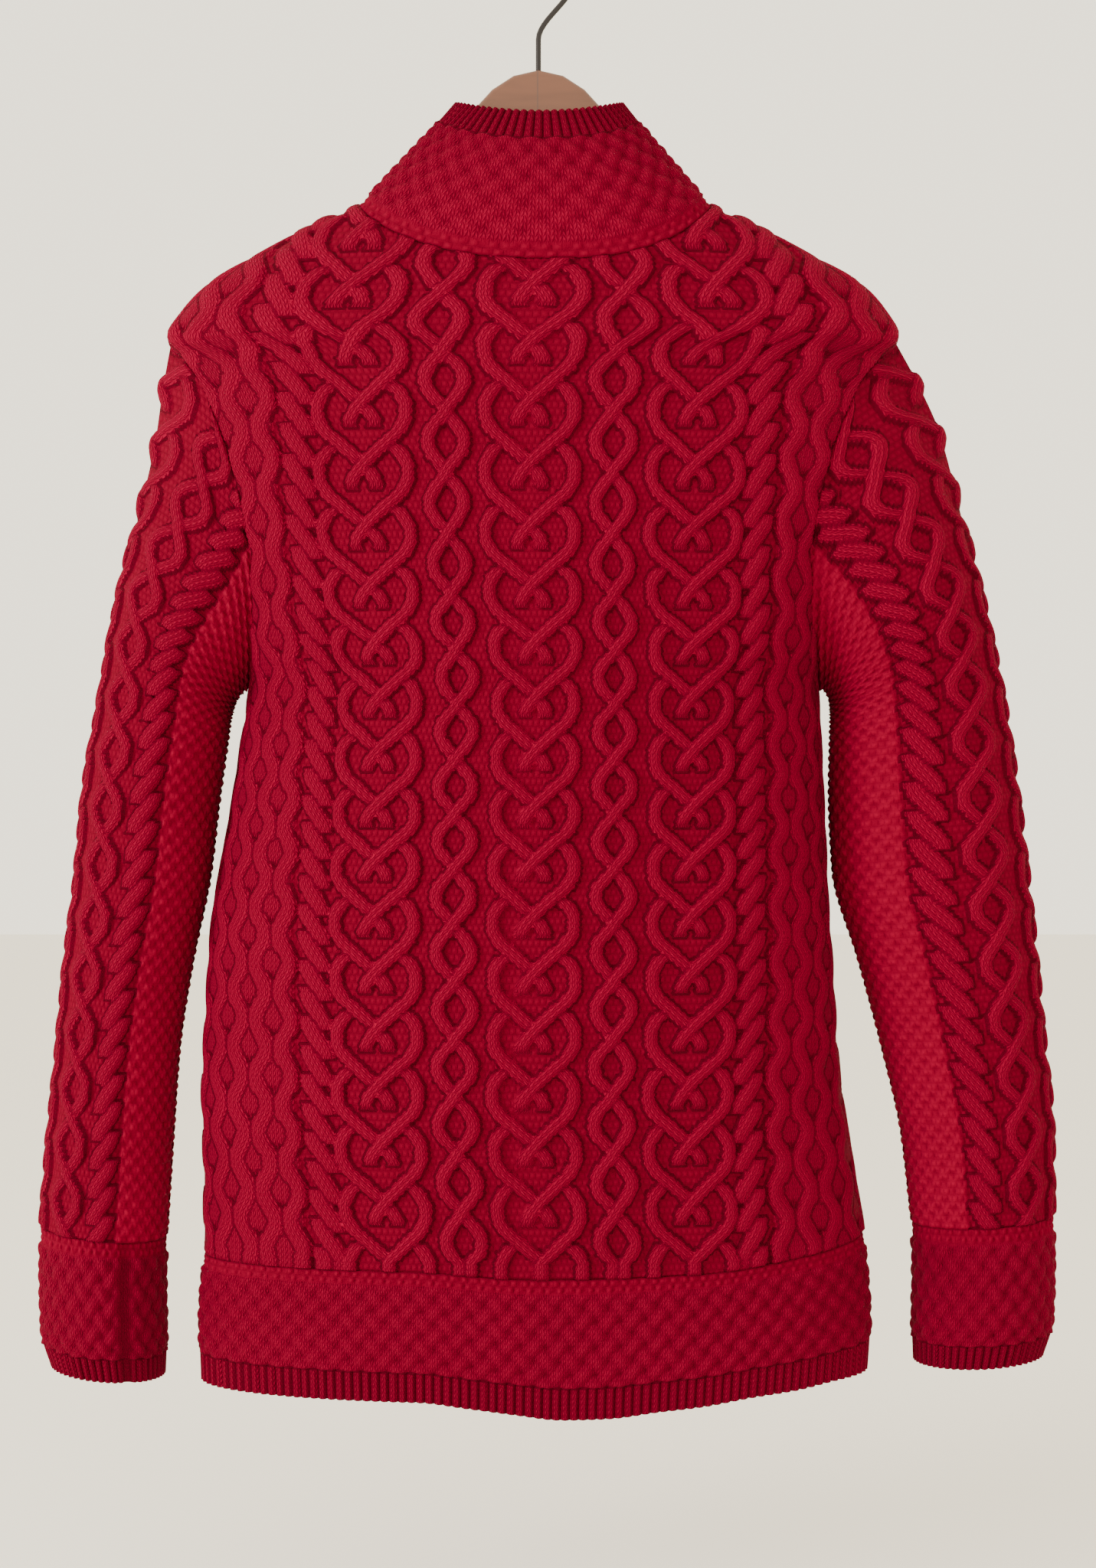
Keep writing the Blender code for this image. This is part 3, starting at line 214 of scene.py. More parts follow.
# %% Surface class
class Surface:
    """Points and outward directions over a grid, read back smoothly at any place."""

    def __init__(self, grid, low, high, outward, closed=False):
        self.low, self.high, self.grid, self.turned = low, high, grid, outward < 0
        across = np.gradient(grid, axis=1)
        if closed:
            ends = (grid[:, 1] - grid[:, -2]) / 2
            across[:, 0], across[:, -1] = ends, ends
        up = np.gradient(grid, axis=0)
        normal = np.cross(across, up) * outward
        self.normal = normal / np.maximum(np.linalg.norm(normal, axis=2, keepdims=True), 1e-9)
        steps = np.linalg.norm(np.diff(grid, axis=0), axis=2)
        self.run = np.vstack([np.zeros(grid.shape[1]), np.cumsum(steps, axis=0)])[:, :, None]

    def read(self, field, q, t):
        rows, columns = self.grid.shape[:2]
        a = np.clip((np.asarray(t, float) - self.low) / (self.high - self.low), 0, 1) * (rows - 1)
        b = np.clip((np.asarray(q, float) + 1) / 2, 0, 1) * (columns - 1)
        i, j = np.minimum(a.astype(int), rows - 2), np.minimum(b.astype(int), columns - 2)
        u, v = (a - i)[..., None], (b - j)[..., None]
        near = field[i, j] * (1 - v) + field[i, j + 1] * v
        far = field[i + 1, j] * (1 - v) + field[i + 1, j + 1] * v
        return near * (1 - u) + far * u

    def point(self, q, t):
        return self.read(self.grid, q, t)

    def row(self, q, t):
        """How far up the cloth a place lies, measured along it."""
        return self.read(self.run, q, t)[..., 0]

    def out(self, q, t):
        normal = self.read(self.normal, q, t)
        return normal / np.maximum(np.linalg.norm(normal, axis=-1, keepdims=True), 1e-9)


# %% [markdown]
# ## The torso
#
# A level of the torso is a squarish oval: flat over the back, round at the sides. Equal lengths of
# knitting are laid along it, so a cable keeps its width as it goes round the side. At the armholes
# the oval is cut off short, which the table's turn does.

# %% Torso surface
SECTION_POWER = 0.87


def torso_surface(front):
    heights = np.arange(-815.0, -119.0, 3.0)
    grid = np.zeros((len(heights), 129, 3))
    for i, z in enumerate(heights):
        half, side, back = (float(torso[name](z)) for name in ("half", "side", "back"))
        turn = math.radians(float(torso["turn"](z)))
        angle = np.linspace(0.0, 1.0, 41) * turn
        xs = half * (np.sin(angle) / math.sin(turn)) ** SECTION_POWER
        cut = 1 - abs(math.cos(turn)) ** SECTION_POWER
        ys = back + (side - back) * (1 - np.abs(np.cos(angle)) ** SECTION_POWER) / cut
        lengths = lengths_along(np.column_stack([xs, ys]))
        q = np.linspace(-1.0, 1.0, 129)
        reach = np.abs(q) * lengths[-1]
        grid[i, :, 0] = float(torso["x"](z)) + np.sign(q) * np.interp(reach, lengths, xs)
        grid[i, :, 1] = np.interp(reach, lengths, ys) * (1 if front else -1)
        grid[i, :, 2] = z
    return Surface(grid, heights[0], heights[-1], -1 if front else 1)


BODY = {"back": torso_surface(False), "front": torso_surface(True)}


def torso_at(face, s, z, field="point"):
    surface = BODY[face]
    return getattr(surface, field)(np.asarray(s) / torso["knit"](z), z)


print("middle of the back at the waist:", torso_at("back", 0.0, -555.0).round(1))

# %% [markdown]
# ## Seam lines of a panel
#
# A back or front panel is cut to one closed outline: the hem, a side, the armhole, the shoulder,
# the neckline, and home down the other half. Each line is kept as places in the flat knitting.

# %% Panel outline
def neck_height(s, face):
    lowest, middle, power = NECKLINE[face]
    reach = np.where(s > middle, NECK_KNIT - middle, NECK_KNIT + middle)
    return lowest + (NECK_Z - lowest) * np.minimum(np.abs(s - middle) / reach, 1.0) ** power


def evenly(places, face, step):
    """The same line of flat places, sampled every step millimetres of cloth."""
    lengths = lengths_along(torso_at(face, places[:, 0], places[:, 1] + HEM_Z))
    count = max(int(round(lengths[-1] / step)), 2)
    return read_off(np.linspace(0.0, lengths[-1], count + 1), lengths, places.T)


def panel_outline(face, step):
    up = np.linspace(UNDERARM_Z, SHOULDER_Z, 160)
    armhole = np.column_stack([torso["knit"](up), up - HEM_Z])
    over = np.linspace(SHOULDER_Z, NECK_Z, 80)
    shoulder = np.column_stack([torso["knit"](over), over - HEM_Z])
    s = NECK_KNIT * np.cos(np.linspace(0.0, math.pi, 120))
    neck = np.column_stack([s, neck_height(s, face) - HEM_Z])
    hem_s = np.linspace(-KNIT_HALF, KNIT_HALF, 80)
    hem = np.column_stack([hem_s, seam_rise[face](hem_s)])
    side = np.array([hem[-1], [KNIT_HALF, UNDERARM_Z - HEM_Z]])
    other = np.array([[-KNIT_HALF, UNDERARM_Z - HEM_Z], hem[0]])
    mirror = np.array([-1.0, 1.0])
    lines = [hem, side, armhole, shoulder, neck]
    lines += [shoulder[::-1] * mirror, armhole[::-1] * mirror, other]
    return np.vstack([evenly(line, face, step)[:-1] for line in lines])


NECK_KNIT = float(torso["knit"](NECK_Z))
print("panel outline:", len(panel_outline("back", 1.5)), "samples")

# %% [markdown]
# ## The sleeves, cuffs, collar and welt as tubes
#
# A sleeve hangs from the armhole, which is a bent loop, and turns into a plain oval below it. So
# its rings are a blend: mostly the loop at the top, mostly the oval a third of the way down.

# %% Tube surfaces
def armhole_loop(side):
    """The armhole's points from the shoulder tip down the back to the underarm, evenly spaced."""
    heights = np.linspace(SHOULDER_Z, UNDERARM_Z, 161)
    points = torso_at("back", side * torso["knit"](heights), heights)
    points[0, 1] = points[-1, 1] = 0.0
    lengths = lengths_along(points)
    return read_off(np.linspace(0.0, lengths[-1], 81), lengths, points.T)


def in_plane(x, z):
    """Places in the upright plane of the hanger."""
    return np.stack([x, np.zeros_like(x), z], axis=-1)


def sleeve_surface(side, rows):
    curve = curves(rows, "out_x out_z in_x in_z deep", "share")
    loop = armhole_loop(side)
    chord = loop[-1] - loop[0]
    length = np.linalg.norm(chord)
    bow = in_plane(-chord[2], chord[0]) / length
    q, shares = np.linspace(-1.0, 1.0, 129), np.linspace(0.0, 1.0, len(loop))
    lines = ((loop - loop[0]) @ chord / length**2, (loop - loop[0]) @ bow, np.abs(loop[:, 1]))
    loop_a, loop_b, loop_y = read_off(np.abs(q), shares, lines).T
    v = np.linspace(1.0, 0.0, 166)
    fade = (1.0 - smooth(v / LOOP_FADE))[:, None]
    outer, inner = (in_plane(curve[end + "_x"](v), curve[end + "_z"](v)) for end in ("out", "in"))
    outer = outer + (loop[0] - outer[-1]) * fade
    inner = inner + (loop[-1] - inner[-1]) * fade
    way = (inner - outer)[:, None]
    square = in_plane(-way[..., 2], way[..., 0]) / np.linalg.norm(way, axis=2, keepdims=True)
    a = (1 - np.cos(math.pi * q)) / 2 * (1 - fade) + loop_a * fade
    y = np.sin(math.pi * np.abs(q)) * curve["deep"](v)[:, None] * (1 - fade) + loop_y * fade
    grid = outer[:, None] + a[..., None] * way + (loop_b * fade)[..., None] * square
    grid[..., 1] += y * np.sign(q)
    return Surface(grid, 0.0, SLEEVE_LENGTH, side, closed=True)


def cuff_surface(side, sleeve):
    shape = {name: curve(np.linspace(1.0, 0.0, 40))[:, None] for name, curve in
             curves(CUFF_SHAPE, "out in drop deep", "share").items()}
    outer = sleeve.point(0.0, 0.0) + in_plane(side * shape["out"], -shape["drop"])
    inner = sleeve.point(1.0, 0.0) + in_plane(side * shape["in"], -shape["drop"])
    turn = math.pi * np.linspace(-1.0, 1.0, 129)
    grid = (outer + inner) / 2 + np.cos(turn)[:, None] * (outer - inner) / 2
    grid[..., 1] += shape["deep"] * np.sin(turn)
    return Surface(grid, 0.0, CUFF_SHAPE[-1]["drop"], side, closed=True)


SLEEVES = {-1: sleeve_surface(-1, SLEEVE_LEFT), 1: sleeve_surface(1, SLEEVE_RIGHT)}
CUFFS = {side: cuff_surface(side, SLEEVES[side]) for side in (-1, 1)}
print("left elbow, outer line:", SLEEVES[-1].point(0.0, 250.0).round(1))

# %% [markdown]
# The welt goes once round the hem: across the back, and home across the front. The collar stands on
# the neckline's ring and narrows to its free edge, which dips at the back. Both are tubes too, with
# t running up from the free edge.

# %% Welt and collar surfaces
COLLAR_TOP = {"x": 0.5, "half": 46.0, "back": 27.0, "front": 32.0}
COLLAR_TOP |= {"side_z": -89.0, "back_z": -100.5, "front_z": -136.0}
BELLY_SIDE, BELLY_MIDDLE = -1.5, 4.5


def welt_surface():
    q, share = np.linspace(-1.0, 1.0, 257), np.linspace(0.0, 1.0, 38)[:, None]
    sides = []
    for face, spot in (("back", np.clip(2 * q + 1, -1, 1)), ("front", np.clip(1 - 2 * q, -1, 1))):
        low = HEM_Z - HEM_HEIGHT + edge_rise[face](spot * KNIT_HALF)
        z = low + (HEM_Z + seam_rise[face](spot * KNIT_HALF) - low) * share
        sides.append(BODY[face].point(spot, z))
    return Surface(np.where((q <= 0)[:, None], *sides), 0.0, HEM_HEIGHT, 1, closed=True)


def panel_neck(face):
    """The neckline from the right neck point to the left one, in space."""
    s = NECK_KNIT * np.cos(np.linspace(0.0, math.pi, 97))
    points = torso_at(face, s, neck_height(s, face))
    points[0, 1] = points[-1, 1] = 0.0
    return points


def collar_surface():
    ring = np.vstack([panel_neck("back")[::-1], panel_neck("front")[1:]])
    q, share = np.linspace(-1.0, 1.0, 193), np.linspace(0.0, 1.0, 40)[:, None, None]
    base = read_off(q, np.linspace(-1.0, 1.0, len(ring)), ring.T)
    turn = math.pi * (q + 1.0)
    depth = np.where(q < 0, COLLAR_TOP["back"], COLLAR_TOP["front"])
    low = np.where(q < 0, COLLAR_TOP["back_z"], COLLAR_TOP["front_z"])
    edge_z = COLLAR_TOP["side_z"] + (low - COLLAR_TOP["side_z"]) * np.abs(np.sin(turn)) ** 1.5
    edge_x = COLLAR_TOP["x"] - COLLAR_TOP["half"] * np.cos(turn)
    edge = np.column_stack([edge_x, -depth * np.sin(turn), edge_z])
    out = np.column_stack([-np.cos(turn), -np.sin(turn), np.zeros(len(q))])
    belly = out * (BELLY_SIDE + (BELLY_MIDDLE - BELLY_SIDE) * np.abs(np.sin(turn)))[:, None]
    grid = edge * (1 - share) + base * share + belly * np.sin(math.pi * share)
    return Surface(grid, 0.0, COLLAR_HEIGHT, -1, closed=True)


WELT, COLLAR = welt_surface(), collar_surface()
print("collar edge, middle of the back:", COLLAR.point(-0.5, 0.0).round(1))

# %% [markdown]
# ## Cables as lines of cloth
#
# A cable is a rope of plain knitting that wanders over a purl ground. Here each one is a centre line
# in the flat knitting. A place's height is that of the rope it lies under: full in the middle,
# falling away at the rope's edges, and lower where the rope dives under its partner.
#
# v counts repeats above the crossing that a rope belongs to. In a heart the arm starts behind the
# heart above, swells out round the lobe, runs down to the crossing, and ends in a short tail.

# %% Cable tables
HEART = table("v x rise", [
    (-0.4, -5.6, 0.0),
    (-0.32, -6.0, 0.55),
    (-0.2, -4.6, 0.9),
    (0.0, 0.0, 1.0),
    (0.34, 10.7, 1.0),
    (0.58, 18.2, 1.0),
    (0.78, 21.2, 1.0),
    (0.95, 21.4, 1.0),
    (1.12, 19.4, 0.95),
    (1.24, 16.6, 0.75),
    (1.34, 13.5, 0.3),
])
# How the crossings of the hearts are spaced up the back
BODY_CROSSINGS = table("t count", [
    (5.2, 0.0),
    (68.9, 2.0),
    (191.7, 6.0),
    (279.2, 9.0),
    (367.6, 12.0),
    (500.9, 16.0),
    (600.0, 19.0),
])
# How the lines of cables lie on the body: how far right the middle one stands, how widely they are
# spread, how wide the hearts are knitted
CABLE_FIT = table("t shift spread wide", [
    (0.0, 4.0, 0.96, 1.0),
    (32.0, 4.5, 0.965, 1.0),
    (145.0, 8.0, 1.0, 1.0),
    (294.0, 2.5, 1.06, 1.0),
    (345.0, 1.0, 1.08, 1.08),
    (399.0, 0.0, 1.08, 1.14),
    (450.0, 0.0, 1.02, 1.06),
    (482.0, 0.0, 0.96, 0.98),
    (510.0, 0.0, 0.91, 0.94),
    (600.0, 0.0, 0.88, 0.92),
])
HEART_START, HEART_END = HEART[0]["v"], HEART[-1]["v"]
STRAND_HALF, STRAND_RISE, UNDER_RISE, HEART_DIP, HEART_DIP_SPAN = 4.1, 3.3, 0.93, 0.45, 0.13
RING_REACH, RING_LAG, RING_POWER, RING_DIP, RING_DIP_SPAN, STEEPEST = 9.2, 0.14, 1.25, 0.5, 0.17, 1.6
ROPE_REACH, ROPE_THICK, LEAF_SPAN, ROPE_LAG = 4.8, 5.3, 0.76, 0.3
SLOPE_STEP = 0.02  # how far apart, in repeats, a line is read for its slope
fit = curves(CABLE_FIT, "shift spread wide", "t")
body_count = column_curve(BODY_CROSSINGS, "count", "t")
heart_x, heart_rise = curves(HEART, "x rise", "v").values()
print("rows of hearts on the back:", int(body_count(548.0)))

# %% [markdown]
# ## Heights of the pattern
#
# `Relief` keeps the highest rope at every place, and remembers where in that rope the place lies.
# The stitches need it: across tells how far it is from the rope's middle, t how far up the cloth.

# %% Relief class
# At these heights and above, the wool gets none of its painted hollow shade
FULL_BODY, FULL_BAND = 2.4, 3.9  # heights at which the cloth is as light as it gets
ROPE_SIDES, ROPE_CROWN = 2.6, 0.6  # how steep a rope's sides are, how flat its top


class Relief:
    """The raised pattern over flat places: height, and the place's coordinates in its own rope."""

    def __init__(self, s, t):
        self.s, self.t, self.across, self.full = s, t, s, FULL_BODY
        self.height, self.rope = np.zeros(s.shape), np.zeros(s.shape)

    def add(self, off, lean, rise, half=STRAND_HALF):
        """Adds a rope: off its line, how far it leans per mm upwards, its share of the full rise."""
        across = off / np.sqrt(1.0 + lean * lean)
        share = np.clip(1.0 - (np.abs(across) / half) ** ROPE_SIDES, 0.0, 1.0)
        height = STRAND_RISE * rise * share**ROPE_CROWN
        higher = (height > self.height) & (share > 0.0)
        self.height = np.where(higher, height, self.height)
        self.across = np.where(higher, across, self.across)
        self.rope = np.where(higher, 1.0, self.rope)


def hearts(relief, count, repeat, centre, wide=1.0):
    """Hearts up one line: the arm that leans right lies over its partner."""
    for hand, over in ((1, 1.0), (-1, UNDER_RISE)):
        for step in (-1, 0, 1):
            v = count - (np.floor(count) + step)
            x = heart_x(v) * wide
            lean = (heart_x(v + SLOPE_STEP) - heart_x(v - SLOPE_STEP)) * wide / 2 / SLOPE_STEP / repeat
            dive = 1.0 - (0.0 if hand > 0 else HEART_DIP * np.exp(-((v / HEART_DIP_SPAN) ** 2)))
            inside = (v > HEART_START) & (v < HEART_END)
            off = np.where(inside, (relief.s - centre) * hand - x, 99.0)
            relief.add(off, lean, heart_rise(v) * over * dive)


def ring_line(w):
    """How far right of its middle a ring's strand lies, w repeats above a crossing."""
    return RING_REACH * np.sign(w) * np.abs(np.sin(math.pi * np.clip(w, -0.5, 0.5))) ** RING_POWER


def rings(relief, count, repeat, centre):
    """Two strands that cross once a count and bow apart in between."""
    w = count + RING_LAG
    w = w - np.round(w)
    slope = (ring_line(w + SLOPE_STEP) - ring_line(w - SLOPE_STEP)) / 2 / SLOPE_STEP / repeat
    for hand in (1, -1):
        rise = 1.0 if hand > 0 else 1.0 - RING_DIP * np.exp(-((w / RING_DIP_SPAN) ** 2))
        lean = hand * np.clip(slope, -STEEPEST, STEEPEST)
        relief.add(relief.s - centre - hand * ring_line(w), lean, rise)


def rope(relief, count, repeat, centre, hand):
    """Leaves that lie one above the other, each tucked under the next: a rope of two strands."""
    count = count * 2 + ROPE_LAG
    bend = math.pi / 2 / LEAF_SPAN
    for step in (-1, 0, 1):
        w = count - np.round(count) - step
        turn = bend * np.clip(w, -LEAF_SPAN, LEAF_SPAN)
        lean = hand * ROPE_REACH * bend * np.cos(turn) * 2 / repeat
        rise = np.where(np.abs(w) < LEAF_SPAN, 1.12 - 0.62 * np.abs(w / LEAF_SPAN) ** 2.5, 0.0)
        relief.add(relief.s - centre - hand * ROPE_REACH * np.sin(turn), lean, rise, ROPE_THICK)


def honeycomb(relief, count, repeat, side, starts):
    """Ropes that lean to one neighbour and then to the other, so that they enclose cells."""
    count = count - HONEY_LAG
    turn = 2 * math.pi * count
    for k, start in enumerate(starts):
        hand = 1 if k % 2 else -1
        lean = -2 * math.pi * HONEY_SWAY * np.sin(turn) * hand / repeat
        off = side * (relief.s - start) - np.cos(turn) * hand * HONEY_SWAY
        relief.add(off, lean, 1.0, HONEY_THICK)
    zone = side * (relief.s - starts[0]) > -HONEY_EDGE
    relief.height = np.where(zone, np.maximum(relief.height, HONEY_FLOOR), relief.height)
    relief.rope = np.where(zone, 1.0, relief.rope)
    for k, start in enumerate(starts):
        level = count - (0.5 if k % 2 else 0.0) + PIT_LAG
        rise = (level - np.round(level)) * repeat
        beside = side * (relief.s - start) - HONEY_STEP / 2
        relief.height *= 1.0 - np.exp(-((beside / PIT_WIDE) ** 2) - (rise / PIT_TALL) ** 2)


# %% [markdown]
# ## Relief of each piece
#
# The layout reads from the middle outwards: heart, ring, heart, rope, and then honeycomb to the
# side seam. A sleeve has one line of hearts down its outer side, and moss stitch at the seam. The
# ground between the ropes is purl, whose little bumps are left to the material.

# %% Relief of body and sleeves
HEART_LINES, RING_LINES, ROPE_LINE = (-83.0, 0.0, 83.0), (-41.5, 41.5), 116.0
ROPE_GROOVE, GROOVE_HALF, GROOVE_HEIGHT = 9.6, 1.1, 0.6
HONEY_START, HONEY_STEP, HONEY_COUNT, HONEY_EDGE = 133.0, 15.0, 6, 4.0
HONEY_SWAY, HONEY_LAG, HONEY_THICK, HONEY_FLOOR = 3.2, 0.14, 5.3, 1.9
PIT_LAG, PIT_WIDE, PIT_TALL = 0.24, 2.3, 2.1
SLEEVE_REPEAT, SLEEVE_FIRST, SLEEVE_RINGS, SLEEVE_ROPES = 31.0, 9.0, 43.0, 68.0
MOSS_START, MOSS_LOW, MOSS_HIGH, MOSS_WIDE, MOSS_TALL = 79.0, 0.6, 2.2, 10.4, 9.6
HEAD_TILT, HEAD_START, HEAD_SPAN = 0.4, 260.0, 160.0


def body_relief(s, t):
    relief = Relief(s, t)
    count = body_count(t)
    repeat = 0.5 / np.maximum(body_count(t + 0.25) - body_count(t - 0.25), 1e-4)
    shift, spread, wide = (fit[name](t) for name in ("shift", "spread", "wide"))
    for centre in RING_LINES:
        rings(relief, count, repeat, shift + centre * spread)
    for side in (-1, 1):
        first = HONEY_START - ROPE_LINE * (1 - spread)
        starts = [shift + side * (first + HONEY_STEP * k) for k in range(HONEY_COUNT)]
        honeycomb(relief, count, repeat, side, starts)
        rope(relief, count, repeat, shift + side * ROPE_LINE * spread, side)
        groove = np.abs(side * (s - shift) - ROPE_LINE * spread - ROPE_GROOVE) < GROOVE_HALF
        relief.height = np.where(groove, np.minimum(relief.height, GROOVE_HEIGHT), relief.height)
    for centre in HEART_LINES:
        hearts(relief, count, repeat, shift + centre * spread, wide)
    return relief


def sleeve_row(cloth, s, t):
    """Rows run straight across a sleeve, and tilt a little at its head to follow the armhole."""
    tilt = HEAD_TILT * smooth((t - HEAD_START) / HEAD_SPAN)
    return cloth.row(s / SLEEVE_HALF, t) * (1 - tilt) + t * tilt


def sleeve_relief(s, t):
    relief = Relief(s, t)
    count = (t - SLEEVE_FIRST) / SLEEVE_REPEAT
    for hand in (-1, 1):
        rings(relief, count, SLEEVE_REPEAT, hand * SLEEVE_RINGS)
        rope(relief, count, SLEEVE_REPEAT, hand * SLEEVE_ROPES, hand)
    hearts(relief, count, SLEEVE_REPEAT, 0.0)
    moss = 0.5 + 0.5 * np.sin(2 * math.pi * s / MOSS_WIDE) * np.sin(2 * math.pi * t / MOSS_TALL)
    relief.height = np.where(np.abs(s) > MOSS_START, MOSS_LOW + MOSS_HIGH * moss, relief.height)
    return relief


# %% [markdown]
# The bands have three zones, from the free edge up: a rib of single stitches, a basket weave that
# leans, and two rows of seed stitch against the seam. Their ropes are short, so plain waves draw
# them well: the weave is two families of slanting bars, each passing over the other in turn.

# %% Relief of a band
RIB_HEIGHT, COLLAR_RIB, RIB_RISE = 17.0, 15.0, 2.0
WEAVE_WIDE, WEAVE_TALL, WEAVE_RISE = 12.9, 14.1, 3.3
SEED_WIDE, SEED_TALL, SEED_ZONE = 5.2, 7.0, 8.5
WELT_CRESTS, CUFF_CRESTS, COLLAR_CRESTS = 168, 52, 70
CREASE_PLACE, CREASE_WIDE, CREASE_FLAT, CREASE_DEEP = -86.0, 4.2, 0.95, 1.1


def band_relief(s, t, half, height, crests, rib=RIB_HEIGHT):
    relief = Relief(s, t)
    rib_count = (s + half) * crests / (2 * half)
    ribs = RIB_RISE * np.abs(np.cos(math.pi * rib_count + math.pi / 2)) ** 0.8
    a = (s + half) / (2 * half) * round(2 * half / WEAVE_WIDE)
    b = (t - rib) / WEAVE_TALL
    first, second = a + b, a - b
    over = np.cos(math.pi * (second + np.round(first)))
    under = np.cos(math.pi * (first + np.round(second)))
    bars = np.abs(np.cos(math.pi * first)) ** 0.8 * (0.66 + 0.34 * over)
    cross = np.abs(np.cos(math.pi * second)) ** 0.8 * (0.66 - 0.34 * under)
    weave = WEAVE_RISE * np.maximum(bars, cross)
    seed = 0.9 + 0.9 * np.sin(2 * math.pi * s / SEED_WIDE) * np.sin(2 * math.pi * (t - height) / SEED_TALL)
    low = smooth((t - rib + 0.8) / 1.6)
    high = smooth((t - (height - SEED_ZONE)) / 1.6)
    relief.height = ribs * (1 - low) + weave * low * (1 - high) + seed * high
    relief.rope = 1 - low + low * (1 - high) * 0.9
    relief.full = FULL_BAND
    relief.across = np.where(t < rib, (rib_count % 1.0 - 0.5) * 2 * half / crests, s)
    return relief


def cuff_relief(s, t, side):
    """A cuff's band; the left one hangs folded, with a deep crease down its back."""
    relief = band_relief(s, t, SLEEVE_HALF, CUFF_SHAPE[-1]["drop"], CUFF_CRESTS)
    crease = np.exp(-(((s - CREASE_PLACE) / CREASE_WIDE) ** 2)) * (side < 0)
    relief.height = relief.height * (1 - CREASE_FLAT * crease) - CREASE_DEEP * crease
    return relief


def welt_relief(s, t):
    return band_relief(s, t, 2 * KNIT_HALF, HEM_HEIGHT, WELT_CRESTS)


def collar_relief(s, t):
    return band_relief(s, t, COLLAR_HALF, COLLAR_HEIGHT, COLLAR_CRESTS, COLLAR_RIB)


probe = body_relief(np.zeros(3), np.array([100.0, 110.0, 120.0]))
print("heights up the middle heart:", probe.height.round(2))

# %% [markdown]
# ## From relief to mesh
#
# A knitted piece is a wall. Its outer face is a fine net lifted by the relief, its inner face a
# coarse plain one, and a narrow rim joins them. Three numbers ride along at every outer point for
# the material: across and along in its rope, and how deep the place lies between the ropes. The
# last one is painted shade: the wool's colour darkens by it.

# %% Mesh building
INNER_EVERY = 6  # the inner face has a sample for every sixth one of the outer face
SEAM_HEIGHT = 0.9  # the pattern sinks to this at a seam
# Painted shade on the inner face, which has no relief of its own
INNER_PAINTED_SHADE = 0.5


def stand_for(piece, node_name):
    """Every piece rides on the one body there is, and stands for one CAD node."""
    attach(piece, "root")
    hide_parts(node_name)


def knitted(name, node_name, outer, inner, faces, relief, plain):
    """A knitted piece from its outer and inner points."""
    mesh = bpy.data.meshes.new(name)
    points = (np.vstack([outer, inner]).astype(np.float32) * MM).ravel()
    sizes = np.fromiter(map(len, faces), np.int32)
    corners = np.fromiter(chain.from_iterable(faces), np.int32)
    starts = (np.cumsum(sizes) - sizes).astype(np.int32)
    for part, size, values in (
        (mesh.vertices, len(points) // 3, {"co": points}),
        (mesh.loops, len(corners), {"vertex_index": corners}),
        (mesh.polygons, len(sizes), {"loop_start": starts, "loop_total": sizes}),
    ):
        part.add(size)
        for key, value in values.items():
            part.foreach_set(key, value)
    mesh.update(calc_edges=True)
    mesh.validate()
    mesh.shade_smooth()
    own = np.column_stack([relief.across, relief.t, relief.rope])
    stitches = np.vstack([own, np.column_stack([plain, np.zeros(len(plain))])]).astype(np.float32)
    # Painted shade: the lower a place lies under full height (between ropes, in grooves, at seams, in the
    # cuff's crease), the darker the wool paints it
    painted_hollow_shades = np.clip(1.0 - relief.height / relief.full, 0.0, 1.0)
    painted_hollow_shades = np.concatenate([painted_hollow_shades, np.full(len(plain), INNER_PAINTED_SHADE)]).astype(np.float32)
    mesh.attributes.new("stitch", "FLOAT_VECTOR", "POINT").data.foreach_set("vector", stitches.ravel())
    mesh.attributes.new("painted_hollow_shade", "FLOAT", "POINT").data.foreach_set("value", painted_hollow_shades)
    piece = bpy.data.objects.new(name, mesh)
    bpy.context.scene.collection.objects.link(piece)
    stand_for(piece, node_name)
    print(name, int(sizes.sum()) - 2 * len(sizes), "triangles")
    return piece


def ring_join(outer, inner):
    """Triangles between two closed rims, the outer with a whole number of samples to each inner."""
    each = len(outer) // len(inner)
    faces = []
    for j in range(len(inner)):
        a, b = inner[j], inner[(j + 1) % len(inner)]
        span = [outer[(j * each + k) % len(outer)] for k in range(each + 1)]
        half = each // 2
        faces += [(q, p, a if k < half else b) for k, (p, q) in enumerate(zip(span, span[1:]))]
        faces.append((span[half], a, b))
    return faces


# %% [markdown]
# ## The panels
#
# The outline is filled with staggered rows of points and joined by Delaunay's rule, which makes the
# roundest triangles it can, so the outline needs no special care at the armholes or the neck.

# %% Panels
def filled(outline, step):
    """Points and triangles over the inside of an outline; the outline's samples come first."""
    low, high = outline.min(axis=0), outline.max(axis=0)
    rows = np.arange(low[1] + step / 2, high[1], step * 0.92)
    columns = np.arange(low[0], high[0], step)
    s, t = np.meshgrid(columns, rows)
    s = s + (np.arange(len(rows)) % 2)[:, None] * step / 2
    spots = np.column_stack([s.ravel(), t.ravel()])
    spots = spots[inside(spots, outline, step * 0.55)]
    count = len(outline)
    edges = [(i, (i + 1) % count) for i in range(count)]
    places = [Vector(p) for p in np.vstack([outline, spots]).tolist()]
    flat, _, faces, _, _, _ = delaunay_2d_cdt(places, edges, [], 1, 1e-5)
    assert len(flat) == len(places)
    return np.array([(p.x, p.y) for p in flat]), np.array([tuple(face) for face in faces])


